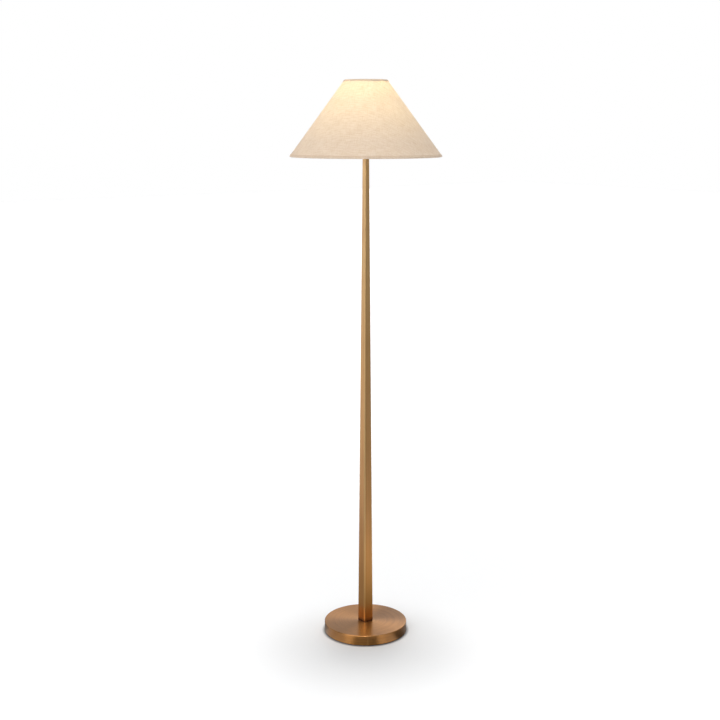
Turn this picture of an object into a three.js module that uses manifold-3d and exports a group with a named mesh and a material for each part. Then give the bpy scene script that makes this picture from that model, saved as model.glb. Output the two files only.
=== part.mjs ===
// Floor lamp: one tapered square post on a round weighted base, with a lit conical linen shade.
// Millimetres, +Z up. The origin is on the floor at the centre of the base.

import * as THREE from 'three';
import { mergeVertices } from 'three/addons/utils/BufferGeometryUtils.js';
import Module from 'manifold-3d';

const wasm = await Module();
wasm.setup();

// ---------------------------------------------------------------- driving dimensions

const TOTAL_HEIGHT = 1650;
const GAP = 0.3; // between pieces that touch

const BASE_RADIUS = 125;
const BASE_HEIGHT = 32;
const COVER_WALL = 1.5;
const COVER_EDGE_RADIUS = 2;
const FLOOR_CLEARANCE = 3; // shadow gap under the cover's skirt
const PAD_INSET = 6;

const POST_TOP = 1448;
const POST_FOOT_SIDE = 34;
const POST_TOP_SIDE = 14.2;
const POST_BORE_RATIO = 0.86; // inside side over outside side
const POST_CORNER_RATIO = 0.12; // corner radius over side

const STUD_RADIUS = 8;
const STUD_BORE_RADIUS = 5;
const NIPPLE_RADIUS = 5;
const NIPPLE_BORE_RADIUS = 3.5;
const LEAD_RADIUS = 2.2;
const CORE_RADIUS = 1.1;

const NECK_HEIGHT = 17.3; // from the post's top to the lampholder's underside
const CAP_RADIUS = 20;
const CAP_HEIGHT = 38;
const CAP_WALL = 1;
const HOLDER_HEIGHT = 76;
const THREAD_RADIUS = 19.8; // crest of the lampholder's outside thread
const SHADE_RING_RADIUS = 26;
const SHADE_RING_HEIGHT = 6;
const CARRIER_SEAT = 50.3; // the shade's carrier ring above the lampholder's underside
const CARRIER_THICKNESS = 2;

const BULB_SEAT = 50.2; // the bulb's contact above the lampholder's underside
const BULB_LENGTH = 110;
const BULB_RADIUS = 30;
const BULB_JOIN = 70; // housing below, globe above
const BULB_THREAD_RADIUS = 13.2;
const BULB_CAP_TOP = 27.5;
const BULB_CAP_LIP_RADIUS = 9.6;
const BULB_CAP_BORE_RADIUS = 11.6;
const LED_BOARD_RADIUS = 24.5;
const LED_BOARD_THICKNESS = 1.6;
const GLOBE_WALL = 1.2;

const SWITCH_HEIGHT = 20; // the switch spindle above the lampholder's underside
const SPINDLE_RADIUS = 2.5;
const KNOB_RADIUS = 6;
const KNOB_LENGTH = 12;

const SHADE_HEIGHT = 215;
const SHADE_TOP_RADIUS = 62.5;
const SHADE_BOTTOM_RADIUS = 218;
const TRIM_RADIUS = 2.3; // rolled edge round each wire ring
const TRIM_WALL = 0.4;
const WIRE_RADIUS = 1.6;
const SHEET_THICKNESS = 0.8;
const SPOKE_RADIUS = 1.5;
const SPOKE_COUNT = 3;

const SHADE_SEGMENTS = 40;
const BASE_SEGMENTS = 40;
const ROUND_SEGMENTS = 20;
const BORE_SEGMENTS = 16;
const SMALL_SEGMENTS = 10;

const HOLDER_BASE = POST_TOP + NECK_HEIGHT;
const SHADE_BASE = TOTAL_HEIGHT - SHADE_HEIGHT;

// ---------------------------------------------------------------- materials

function finish(color, roughness, metalness) {
  return new THREE.MeshStandardMaterial({ color, roughness, metalness });
}

const BRASS = finish(0xa07a4a, 0.35, 1);
const STEEL = finish(0xb4b4b0, 0.4, 1);
const NICKEL = finish(0xc9c7c0, 0.25, 1);
const CAST_IRON = finish(0x3a3a3c, 0.8, 0.6);
const FOAM = finish(0x1c1c1c, 0.95, 0);
const BLACK_PLASTIC = finish(0x1a1a1b, 0.5, 0);
const WHITE_PLASTIC = finish(0xeeece6, 0.45, 0);
const FLEX_PVC = finish(0xd8d2c4, 0.5, 0);
const EARTH_PVC = finish(0x6fa03a, 0.5, 0);
const PORCELAIN = finish(0xf1eee6, 0.3, 0);
const OPAL = finish(0xfff4dc, 0.35, 0);
const WHITE_WIRE = finish(0xe9e6df, 0.4, 0);
const LINEN = finish(0xe6d6c0, 0.9, 0);
const LINER = finish(0xf7f2e8, 0.7, 0);

// ---------------------------------------------------------------- shape helpers

// A solid of revolution about Z from [radius, height] points, listed anticlockwise.
function turned(profile, segments = ROUND_SEGMENTS) {
  const points = profile.map(([radius, height]) => new THREE.Vector2(radius, height));
  return new THREE.LatheGeometry(points, segments).rotateX(Math.PI / 2);
}

function closed(profile) {
  return [...profile, profile[0]];
}

function disc(radius, bottom, top, segments) {
  return turned([[0, bottom], [radius, bottom], [radius, top], [0, top]], segments);
}

function ring(inner, outer, bottom, top, segments) {
  return turned(closed([[inner, bottom], [outer, bottom], [outer, top], [inner, top]]), segments);
}

function arc(centreRadius, centreHeight, radius, startDeg, endDeg, steps) {
  return Array.from({ length: steps + 1 }, (_, i) => {
    const angle = THREE.MathUtils.degToRad(startDeg + ((endDeg - startDeg) * i) / steps);
    return [centreRadius + radius * Math.cos(angle), centreHeight + radius * Math.sin(angle)];
  });
}

// Rings of an upright zigzag between two radii, one crest for each turn of a thread.
function thread(rootRadius, crestRadius, bottom, top, turns) {
  const pitch = (top - bottom) / turns;
  return Array.from({ length: turns * 2 + 1 }, (_, i) => {
    const radius = i % 2 === 0 ? rootRadius : crestRadius;
    return [radius, bottom + (i * pitch) / 2];
  });
}

function roundedSquare(side, cornerRadius) {
  const far = side / 2 - cornerRadius;
  const shape = new THREE.Shape();
  [[1, -1], [1, 1], [-1, 1], [-1, -1]].forEach(([x, y], corner) => {
    const start = ((corner - 1) * Math.PI) / 2;
    shape.absarc(x * far, y * far, cornerRadius, start, start + Math.PI / 2, false);
  });
  return shape;
}

function extruded(shape, bottom, top, curveSegments = 2) {
  const geometry = new THREE.ExtrudeGeometry(shape, {
    depth: top - bottom,
    bevelEnabled: false,
    curveSegments,
  });
  return geometry.translate(0, 0, bottom);
}

// Scales a geometry about the Z axis, evenly from 1 at the bottom to endScale at the top.
function tapered(geometry, bottom, top, endScale) {
  const position = geometry.attributes.position;
  for (let i = 0; i < position.count; i += 1) {
    const scale = THREE.MathUtils.mapLinear(position.getZ(i), bottom, top, 1, endScale);
    position.setXY(i, position.getX(i) * scale, position.getY(i) * scale);
  }
  geometry.computeVertexNormals();
  return geometry;
}

function tube(points, radius, steps, sides = 8) {
  const path = new THREE.CatmullRomCurve3(points.map((point) => new THREE.Vector3(...point)));
  const section = new THREE.Shape();
  section.absarc(0, 0, radius, 0, Math.PI * 2, false);
  return new THREE.ExtrudeGeometry(section, {
    steps,
    bevelEnabled: false,
    extrudePath: path,
    curveSegments: sides / 2, // a full circle gets twice this many
  });
}

function hexNut(acrossFlats, boreRadius, bottom, top) {
  const shape = new THREE.Shape();
  const cornerRadius = acrossFlats / Math.sqrt(3);
  const corners = Array.from({ length: 6 }, (_, i) => {
    const angle = (i * Math.PI) / 3;
    return new THREE.Vector2(cornerRadius * Math.cos(angle), cornerRadius * Math.sin(angle));
  });
  shape.setFromPoints(corners);
  const bore = new THREE.Path();
  const boreCorners = boreRadius / Math.cos(Math.PI / SMALL_SEGMENTS); // its flats stand at boreRadius
  bore.absarc(0, 0, boreCorners, 0, Math.PI * 2, true);
  shape.holes.push(bore);
  return extruded(shape, bottom, top, SMALL_SEGMENTS / 2);
}

// A straight pin whose axis points along Y, from y = near to y = far.
function pinAlongY(radius, near, far, height, segments = SMALL_SEGMENTS) {
  return disc(radius, near, far, segments).rotateX(-Math.PI / 2).translate(0, 0, height);
}

// ---------------------------------------------------------------- cutting and joining

function toSolid(geometry) {
  const plain = geometry.clone();
  plain.deleteAttribute('normal');
  plain.deleteAttribute('uv');
  const merged = mergeVertices(plain, 1e-4);
  const index = merged.index.array;
  const triangles = [];
  for (let i = 0; i < index.length; i += 3) {
    const [a, b, c] = [index[i], index[i + 1], index[i + 2]];
    if (a !== b && b !== c && c !== a) {
      triangles.push(a, b, c);
    }
  }
  return new wasm.Manifold(new wasm.Mesh({
    numProp: 3,
    vertProperties: merged.attributes.position.array,
    triVerts: Uint32Array.from(triangles),
  }));
}

function toGeometry(solid) {
  const mesh = solid.getMesh();
  const geometry = new THREE.BufferGeometry();
  geometry.setAttribute('position', new THREE.BufferAttribute(mesh.vertProperties, 3));
  geometry.setIndex(new THREE.BufferAttribute(mesh.triVerts, 1));
  geometry.computeVertexNormals();
  return geometry;
}

function cut(geometry, ...tools) {
  return toGeometry(tools.reduce((solid, tool) => solid.subtract(toSolid(tool)), toSolid(geometry)));
}

function join(...geometries) {
  const solids = geometries.map(toSolid);
  return toGeometry(solids.reduce((whole, solid) => whole.add(solid)));
}

function addPiece(group, name, geometry, material) {
  const mesh = new THREE.Mesh(geometry, material.clone());
  mesh.name = name;
  group.add(mesh);
  return mesh;
}

// ---------------------------------------------------------------- base

const SKIRT_INNER_RADIUS = BASE_RADIUS - COVER_WALL;
const WEIGHT_RADIUS = SKIRT_INNER_RADIUS - 0.7;
const WEIGHT_TOP = BASE_HEIGHT - COVER_WALL - GAP;
const POCKET_RADIUS = 42;
const POCKET_TOP = 19;
const NUT_POCKET_RADIUS = 20;
const NUT_POCKET_TOP = 24;
const CHANNEL_WIDTH = 12; // the cord's way from the inlet to the pocket
const CHANNEL_LENGTH = 90;
const CHANNEL_HEIGHT = 16;
const BUSH_ROOM = [22, 20, 42]; // width, depth and height cut away behind the inlet bush
const PLATE_RADIUS = 57.4;
const PLATE_THICKNESS = 2;
const PLATE_TOP = FLOOR_CLEARANCE + PLATE_THICKNESS;
const PLATE_SCREW_CIRCLE = 50;
const PLATE_SCREW_ANGLES = [-90, 30, 150];
const SCREW_RADIUS = 2;
const SCREW_HEAD_RADIUS = 3.6;
const WASHER_RADIUS = 17;
const WASHER_THICKNESS = 2;
const FIXING_NUT_FLATS = 24;
const FIXING_NUT_HEIGHT = 6.4;
const INLET_HEIGHT = 13;
const INLET_BORE_RADIUS = 4;
const INLET_BODY_RADIUS = 6.2;
const INLET_FLANGE_RADIUS = 8.5;
const BLOCK_CENTRE_Y = 30;
const BLOCK_DEPTH = 12;
const POLE_PITCH = 9;
const POLE_RADIUS = 4.2;
const POLE_HEIGHT = 12.5;
const WIRE_WAY_RADIUS = 1.6;
const TERMINAL_SCREW_Y = BLOCK_CENTRE_Y + 2.5;
const EARTH_X = -30;
const TAG_THICKNESS = 0.8;
const STUD_BOTTOM = 14.5;
const FOOT_PLUG_HEIGHT = 30;

function plateScrewAt(angleDeg, geometry) {
  const angle = THREE.MathUtils.degToRad(angleDeg);
  return geometry.translate(
    PLATE_SCREW_CIRCLE * Math.cos(angle),
    PLATE_SCREW_CIRCLE * Math.sin(angle),
    0,
  );
}

function coverGeometry() {
  const flatRadius = BASE_RADIUS - COVER_EDGE_RADIUS;
  const shell = turned(closed([
    [STUD_RADIUS + GAP, BASE_HEIGHT - COVER_WALL],
    [SKIRT_INNER_RADIUS, BASE_HEIGHT - COVER_WALL],
    [SKIRT_INNER_RADIUS, FLOOR_CLEARANCE],
    [BASE_RADIUS, FLOOR_CLEARANCE],
    ...arc(flatRadius, BASE_HEIGHT - COVER_EDGE_RADIUS, COVER_EDGE_RADIUS, 0, 90, 3),
    [STUD_RADIUS + GAP, BASE_HEIGHT],
  ]), BASE_SEGMENTS);
  const inletHole = pinAlongY(
    INLET_BODY_RADIUS + GAP,
    BASE_RADIUS - 10,
    BASE_RADIUS + 10,
    INLET_HEIGHT,
    ROUND_SEGMENTS,
  );
  return cut(shell, inletHole);
}

function weightGeometry() {
  const casting = turned(closed([
    [STUD_RADIUS + GAP, NUT_POCKET_TOP],
    [NUT_POCKET_RADIUS, NUT_POCKET_TOP],
    [NUT_POCKET_RADIUS, POCKET_TOP],
    [POCKET_RADIUS, POCKET_TOP],
    [POCKET_RADIUS, PLATE_TOP + GAP],
    [PLATE_RADIUS + 2 * GAP, PLATE_TOP + GAP],
    [PLATE_RADIUS + 2 * GAP, FLOOR_CLEARANCE],
    [WEIGHT_RADIUS, FLOOR_CLEARANCE],
    [WEIGHT_RADIUS, WEIGHT_TOP],
    [STUD_RADIUS + GAP, WEIGHT_TOP],
  ]), BASE_SEGMENTS);
  const channel = new THREE.BoxGeometry(CHANNEL_WIDTH, CHANNEL_LENGTH, CHANNEL_HEIGHT)
    .translate(0, POCKET_RADIUS - 5 + CHANNEL_LENGTH / 2, FLOOR_CLEARANCE + CHANNEL_HEIGHT / 2);
  const bushRoom = new THREE.BoxGeometry(...BUSH_ROOM).translate(0, WEIGHT_RADIUS, FLOOR_CLEARANCE);
  const screwHoles = PLATE_SCREW_ANGLES.map((angle) => (
    plateScrewAt(angle, disc(SCREW_RADIUS + GAP, PLATE_TOP - 1, PLATE_TOP + 12, SMALL_SEGMENTS))
  ));
  const earthHole = disc(SCREW_RADIUS + GAP, POCKET_TOP - 1, POCKET_TOP + 7, SMALL_SEGMENTS)
    .translate(EARTH_X, 0, 0);
  return cut(casting, channel, bushRoom, ...screwHoles, earthHole);
}

function plateGeometry() {
  const countersinks = PLATE_SCREW_ANGLES.map((angle) => plateScrewAt(angle, turned([
    [0, FLOOR_CLEARANCE - 1],
    [SCREW_HEAD_RADIUS + 0.8, FLOOR_CLEARANCE - 1],
    [SCREW_HEAD_RADIUS + 0.4, FLOOR_CLEARANCE],
    [SCREW_RADIUS + 0.4, PLATE_TOP],
    [SCREW_RADIUS + 0.4, PLATE_TOP + 1],
    [0, PLATE_TOP + 1],
  ], SMALL_SEGMENTS)));
  return cut(disc(PLATE_RADIUS, FLOOR_CLEARANCE, PLATE_TOP, BASE_SEGMENTS), ...countersinks);
}

function plateScrewGeometry(angle) {
  return plateScrewAt(angle, turned([
    [0, FLOOR_CLEARANCE],
    [SCREW_HEAD_RADIUS, FLOOR_CLEARANCE],
    [SCREW_RADIUS, PLATE_TOP],
    [SCREW_RADIUS, PLATE_TOP + 10],
    [0, PLATE_TOP + 10],
  ], SMALL_SEGMENTS));
}

// Turned about its own bore, which points out of the skirt along +Y.
function inletBushGeometry() {
  const innerFlange = SKIRT_INNER_RADIUS - 2.6;
  const outerFlange = BASE_RADIUS + GAP;
  const profile = closed([
    [INLET_BORE_RADIUS, innerFlange],
    [INLET_FLANGE_RADIUS - 1, innerFlange],
    [INLET_FLANGE_RADIUS - 1, innerFlange + 2],
    [INLET_BODY_RADIUS, innerFlange + 2],
    [INLET_BODY_RADIUS, outerFlange],
    [INLET_FLANGE_RADIUS, outerFlange],
    [INLET_FLANGE_RADIUS - 0.6, outerFlange + 2],
    [INLET_BORE_RADIUS, outerFlange + 2],
  ]);
  return turned(profile).rotateX(-Math.PI / 2).translate(0, 0, INLET_HEIGHT);
}

function terminalBlockGeometry() {
  const near = BLOCK_CENTRE_Y - BLOCK_DEPTH / 2;
  const far = BLOCK_CENTRE_Y + BLOCK_DEPTH / 2;
  const poles = [-POLE_PITCH, 0, POLE_PITCH];
  const plate = new THREE.BoxGeometry(3 * POLE_PITCH, BLOCK_DEPTH, 4)
    .translate(0, BLOCK_CENTRE_Y, POCKET_TOP - GAP - 2);
  const barrels = poles.map((x) => pinAlongY(POLE_RADIUS, near, far, POLE_HEIGHT).translate(x, 0, 0));
  const wireWays = poles.map((x) => (
    pinAlongY(WIRE_WAY_RADIUS, near - 1, far + 1, POLE_HEIGHT, 8).translate(x, 0, 0)
  ));
  const screwWays = poles.map((x) => (
    disc(SCREW_RADIUS + GAP, POLE_HEIGHT - POLE_RADIUS - 1, POLE_HEIGHT, SMALL_SEGMENTS)
      .translate(x, TERMINAL_SCREW_Y, 0)
  ));
  return cut(join(plate, ...barrels), ...wireWays, ...screwWays);
}

function earthTagGeometry() {
  const shape = new THREE.Shape();
  const tailHalf = 2;
  const eyeRadius = 4.5;
  const tailAngle = Math.asin(tailHalf / eyeRadius);
  shape.absarc(0, 0, eyeRadius, Math.PI / 2 + tailAngle, (5 * Math.PI) / 2 - tailAngle, false);
  shape.lineTo(tailHalf, 10);
  shape.lineTo(-tailHalf, 10);
  const eye = new THREE.Path();
  eye.absarc(0, 0, SCREW_RADIUS + GAP, 0, Math.PI * 2, true);
  shape.holes.push(eye);
  const top = POCKET_TOP - GAP;
  return extruded(shape, top - TAG_THICKNESS, top, SMALL_SEGMENTS / 2).translate(EARTH_X, 0, 0);
}

function earthScrewGeometry() {
  const headTop = POCKET_TOP - 2 * GAP - TAG_THICKNESS;
  return turned([
    [0, headTop - 2.2],
    [SCREW_HEAD_RADIUS - 0.6, headTop - 2.2],
    [SCREW_HEAD_RADIUS, headTop - 1.4],
    [SCREW_HEAD_RADIUS, headTop],
    [SCREW_RADIUS, headTop],
    [SCREW_RADIUS, POCKET_TOP + 6.5],
    [0, POCKET_TOP + 6.5],
  ], SMALL_SEGMENTS).translate(EARTH_X, 0, 0);
}

function buildBase() {
  const base = new THREE.Group();
  const pad = disc(BASE_RADIUS - PAD_INSET, 0, FLOOR_CLEARANCE - GAP, BASE_SEGMENTS);
  addPiece(base, 'base_pad', pad, FOAM);
  addPiece(base, 'base_cover', coverGeometry(), BRASS);
  addPiece(base, 'base_weight', weightGeometry(), CAST_IRON);
  addPiece(base, 'pocket_plate', plateGeometry(), STEEL);
  PLATE_SCREW_ANGLES.forEach((angle, i) => {
    addPiece(base, `pocket_plate_screw_${i + 1}`, plateScrewGeometry(angle), STEEL);
  });

  const washerTop = NUT_POCKET_TOP - GAP;
  const washerBottom = washerTop - WASHER_THICKNESS;
  const washer = ring(STUD_RADIUS + GAP, WASHER_RADIUS, washerBottom, washerTop);
  addPiece(base, 'fixing_washer', washer, STEEL);
  const nutTop = washerBottom - GAP;
  const nut = hexNut(FIXING_NUT_FLATS, STUD_RADIUS + GAP, nutTop - FIXING_NUT_HEIGHT, nutTop);
  addPiece(base, 'fixing_nut', nut, STEEL);

  addPiece(base, 'cord_inlet_bush', inletBushGeometry(), BLACK_PLASTIC);
  addPiece(base, 'terminal_block', terminalBlockGeometry(), WHITE_PLASTIC);
  [-POLE_PITCH, 0, POLE_PITCH].forEach((x, i) => {
    const screw = disc(SCREW_RADIUS, POLE_HEIGHT - POLE_RADIUS + GAP, POLE_HEIGHT - GAP, SMALL_SEGMENTS);
    addPiece(base, `terminal_screw_${i + 1}`, screw, STEEL).position.set(x, TERMINAL_SCREW_Y, 0);
  });
  addPiece(base, 'earth_tag', earthTagGeometry(), NICKEL);
  addPiece(base, 'earth_screw', earthScrewGeometry(), STEEL);
  const earthRoute = [
    [EARTH_X, 10.5, POCKET_TOP - 2.6],
    [EARTH_X + 5, 16, 14.5],
    [EARTH_X + 13, 19, POLE_HEIGHT],
    [-POLE_PITCH, BLOCK_CENTRE_Y - BLOCK_DEPTH / 2 - GAP - 0.2, POLE_HEIGHT],
  ];
  addPiece(base, 'earth_lead', tube(earthRoute, CORE_RADIUS, 12, 6), EARTH_PVC);
  return base;
}

// ---------------------------------------------------------------- post

function postSide(height) {
  return THREE.MathUtils.mapLinear(height, BASE_HEIGHT, POST_TOP, POST_FOOT_SIDE, POST_TOP_SIDE);
}

function taperedPost(bottom, top, bore) {
  const side = postSide(bottom);
  const shape = roundedSquare(side, side * POST_CORNER_RATIO);
  if (bore) {
    const inside = side * POST_BORE_RATIO;
    shape.holes.push(roundedSquare(inside, inside * POST_CORNER_RATIO));
  }
  return tapered(extruded(shape, bottom, top), bottom, top, postSide(top) / side);
}

const PLUG_HEAD_HEIGHT = 10;
const SPIGOT_LENGTH = 18;
const TUBE_TOP = POST_TOP - PLUG_HEAD_HEIGHT;
const SPIGOT_BOTTOM = TUBE_TOP - SPIGOT_LENGTH;
const NIPPLE_BOTTOM = TUBE_TOP + 2 + GAP;
const COLLAR_FOOT_RADIUS = 6.9;
const COLLAR_WAIST_RADIUS = 6.2;
const COLLAR_LIP_RADIUS = 8.2;
const LOCKNUT_FLATS = 14;
const LOCKNUT_HEIGHT = 3.7;

function topPlugGeometry() {
  const spigotSide = postSide(TUBE_TOP) * POST_BORE_RATIO - 2 * GAP;
  const spigot = extruded(roundedSquare(spigotSide, 1.5), SPIGOT_BOTTOM, TUBE_TOP + GAP + 1);
  const head = taperedPost(TUBE_TOP + GAP, POST_TOP, false);
  const leadWay = disc(NIPPLE_BORE_RADIUS, SPIGOT_BOTTOM - 1, POST_TOP, SMALL_SEGMENTS);
  const nippleSeat = disc(NIPPLE_RADIUS + GAP, NIPPLE_BOTTOM - GAP, POST_TOP + 1, SMALL_SEGMENTS);
  return cut(join(spigot, head), leadWay, nippleSeat);
}

function footPlugGeometry() {
  const bottom = BASE_HEIGHT + 2 * GAP;
  const top = bottom + FOOT_PLUG_HEIGHT;
  const side = postSide(top) * POST_BORE_RATIO - 2 * GAP;
  const block = extruded(roundedSquare(side, side * POST_CORNER_RATIO), bottom, top);
  return cut(block, disc(STUD_RADIUS + GAP, bottom - 1, top + 1, BORE_SEGMENTS));
}

// The flex between the terminal block and the lampholder: a bend into the stud, then straight up.
function innerLeadGeometry() {
  const straightStart = 40;
  const bend = tube([
    [0, BLOCK_CENTRE_Y - BLOCK_DEPTH / 2 - GAP, 9.2],
    [0, 14, 8.4],
    [0, 5.5, 9.4],
    [0, 1.2, STUD_BOTTOM],
    [0, 0, 24],
    [0, 0, straightStart + 1],
  ], LEAD_RADIUS, 16);
  const straight = disc(LEAD_RADIUS, straightStart, HOLDER_BASE + 7.5, 8);
  return join(bend, straight);
}

function buildPost() {
  const post = new THREE.Group();
  const studTop = BASE_HEIGHT + FOOT_PLUG_HEIGHT - 4;
  const stud = ring(STUD_BORE_RADIUS, STUD_RADIUS, STUD_BOTTOM, studTop, BORE_SEGMENTS);
  addPiece(post, 'foot_stud', stud, STEEL);
  addPiece(post, 'foot_plug', footPlugGeometry(), STEEL);
  addPiece(post, 'post_tube', taperedPost(BASE_HEIGHT + GAP, TUBE_TOP, true), BRASS);
  addPiece(post, 'post_top_plug', topPlugGeometry(), BRASS);
  addPiece(post, 'inner_lead', innerLeadGeometry(), FLEX_PVC);

  const nippleTop = HOLDER_BASE + 6;
  const bore = NIPPLE_RADIUS + GAP;
  const nutBottom = HOLDER_BASE - GAP - LOCKNUT_HEIGHT;
  const collarTop = nutBottom - GAP;
  const nipple = ring(NIPPLE_BORE_RADIUS, NIPPLE_RADIUS, NIPPLE_BOTTOM, nippleTop, BORE_SEGMENTS);
  addPiece(post, 'neck_nipple', nipple, STEEL);
  addPiece(post, 'neck_collar', turned(closed([
    [bore, POST_TOP + GAP],
    [COLLAR_FOOT_RADIUS, POST_TOP + GAP],
    [COLLAR_FOOT_RADIUS, POST_TOP + 2.5],
    [COLLAR_WAIST_RADIUS, POST_TOP + 3.2],
    [COLLAR_WAIST_RADIUS, collarTop - 3.2],
    [COLLAR_LIP_RADIUS, collarTop - 1.5],
    [COLLAR_LIP_RADIUS, collarTop],
    [bore, collarTop],
  ])), BRASS);
  const locknut = hexNut(LOCKNUT_FLATS, bore, nutBottom, nutBottom + LOCKNUT_HEIGHT);
  addPiece(post, 'neck_locknut', locknut, BRASS);
  return post;
}

// ---------------------------------------------------------------- lampholder, from its underside

const INSERT_BOTTOM = CAP_HEIGHT - 3;
const INSERT_FLOOR = 46;
const INSERT_TOP = HOLDER_HEIGHT - 3.3;
const SHELL_ROOT_RADIUS = BULB_THREAD_RADIUS + 0.35;
const SWITCH_BODY_RADIUS = 14;
const SWITCH_BODY_BOTTOM = 13;
const SKIRT_BOTTOM = 31;
const SKIRT_INSIDE_RADIUS = 17.8;
const SKIRT_NECK_RADIUS = CAP_RADIUS - CAP_WALL - 0.4; // slides into the cap
const SKIRT_LIP_RADIUS = 15.6;
const THREAD_ROOT_RADIUS = 19.1;
const INSERT_RADIUS = SKIRT_INSIDE_RADIUS - 0.4;
const INSERT_BORE_RADIUS = 14.9;
const SHELL_OUTER_RADIUS = INSERT_BORE_RADIUS - 0.35;

function holderCapGeometry() {
  const cup = turned(closed([
    [NIPPLE_RADIUS + GAP, 0],
    [10, 0],
    [15, 2.2],
    [18.6, 6],
    [CAP_RADIUS, 11],
    [CAP_RADIUS, CAP_HEIGHT],
    [CAP_RADIUS - CAP_WALL, CAP_HEIGHT],
    [CAP_RADIUS - CAP_WALL, 11.3],
    [17.6, 6.7],
    [14.5, 3.3],
    [9.8, 1.2],
    [NIPPLE_RADIUS + GAP, 1.2],
  ]));
  const spindleHole = pinAlongY(SPINDLE_RADIUS + 0.7, -CAP_RADIUS - 2, -CAP_RADIUS + 5, SWITCH_HEIGHT);
  return cut(cup, spindleHole);
}

function skirtGeometry() {
  return turned(closed([
    [SKIRT_INSIDE_RADIUS, SKIRT_BOTTOM],
    [SKIRT_NECK_RADIUS, SKIRT_BOTTOM],
    [SKIRT_NECK_RADIUS, CAP_HEIGHT + GAP],
    [CAP_RADIUS, CAP_HEIGHT + GAP],
    [CAP_RADIUS, CAP_HEIGHT + 3],
    ...thread(THREAD_ROOT_RADIUS, THREAD_RADIUS, CAP_HEIGHT + 4, HOLDER_HEIGHT - 2, 5),
    [THREAD_ROOT_RADIUS, HOLDER_HEIGHT],
    [SKIRT_LIP_RADIUS, HOLDER_HEIGHT],
    [SKIRT_LIP_RADIUS, INSERT_TOP + GAP],
    [SKIRT_INSIDE_RADIUS, INSERT_TOP + GAP],
  ]));
}

function insertGeometry() {
  return turned([
    [0, INSERT_BOTTOM],
    [INSERT_RADIUS, INSERT_BOTTOM],
    [INSERT_RADIUS, INSERT_TOP],
    [INSERT_BORE_RADIUS, INSERT_TOP],
    [INSERT_BORE_RADIUS, INSERT_FLOOR],
    [0, INSERT_FLOOR],
  ]);
}

function screwShellGeometry() {
  const bottom = INSERT_FLOOR + 1;
  const top = INSERT_TOP;
  return turned(closed([
    [SHELL_OUTER_RADIUS, bottom],
    [SHELL_OUTER_RADIUS, top],
    ...thread(SHELL_ROOT_RADIUS, SHELL_ROOT_RADIUS + 0.5, bottom, top, 4).reverse(),
  ]));
}

// A sprung strip that rises from the side of the insert's floor to the bulb's contact.
function centreContactGeometry() {
  const floor = INSERT_FLOOR + GAP;
  const shape = new THREE.Shape();
  [[-9, 0], [-3.5, 0], [2.5, 2.4], [4.5, 2.4], [4.5, 3], [2.2, 3], [-3.8, 0.7], [-9, 0.7]]
    .forEach(([x, z], i) => (i === 0 ? shape.moveTo(x, z) : shape.lineTo(x, z)));
  return extruded(shape, -2.5, 2.5).rotateX(Math.PI / 2).translate(0, 0, floor);
}

function switchBodyGeometry() {
  const block = disc(SWITCH_BODY_RADIUS, SWITCH_BODY_BOTTOM, INSERT_BOTTOM - GAP);
  const spindleWay = pinAlongY(SPINDLE_RADIUS + 0.4, -SWITCH_BODY_RADIUS - 1, -7.5, SWITCH_HEIGHT);
  return cut(block, spindleWay);
}

function knobGeometry() {
  const back = CAP_RADIUS + 2;
  const boreRadius = SPINDLE_RADIUS + GAP;
  return turned([
    [0, KNOB_LENGTH - 3.5],
    [boreRadius, KNOB_LENGTH - 3.5],
    [boreRadius, 0],
    [KNOB_RADIUS - 0.6, 0],
    [KNOB_RADIUS, 0.8],
    [KNOB_RADIUS, KNOB_LENGTH - 1],
    [KNOB_RADIUS - 1, KNOB_LENGTH],
    [0, KNOB_LENGTH],
  ]).rotateX(Math.PI / 2).translate(0, -back, SWITCH_HEIGHT);
}

// A nut-like ring with a rounded grip edge, threaded on the lampholder's outside.
function shadeRingGeometry() {
  const middle = SHADE_RING_RADIUS - 3.5;
  return turned(closed([
    [THREAD_RADIUS + GAP, 0],
    [SHADE_RING_RADIUS - 0.8, 0],
    [SHADE_RING_RADIUS, 0.8],
    [SHADE_RING_RADIUS, 2.6],
    [middle, 3.4],
    [middle, SHADE_RING_HEIGHT],
    [THREAD_RADIUS + GAP, SHADE_RING_HEIGHT],
  ]));
}

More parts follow.
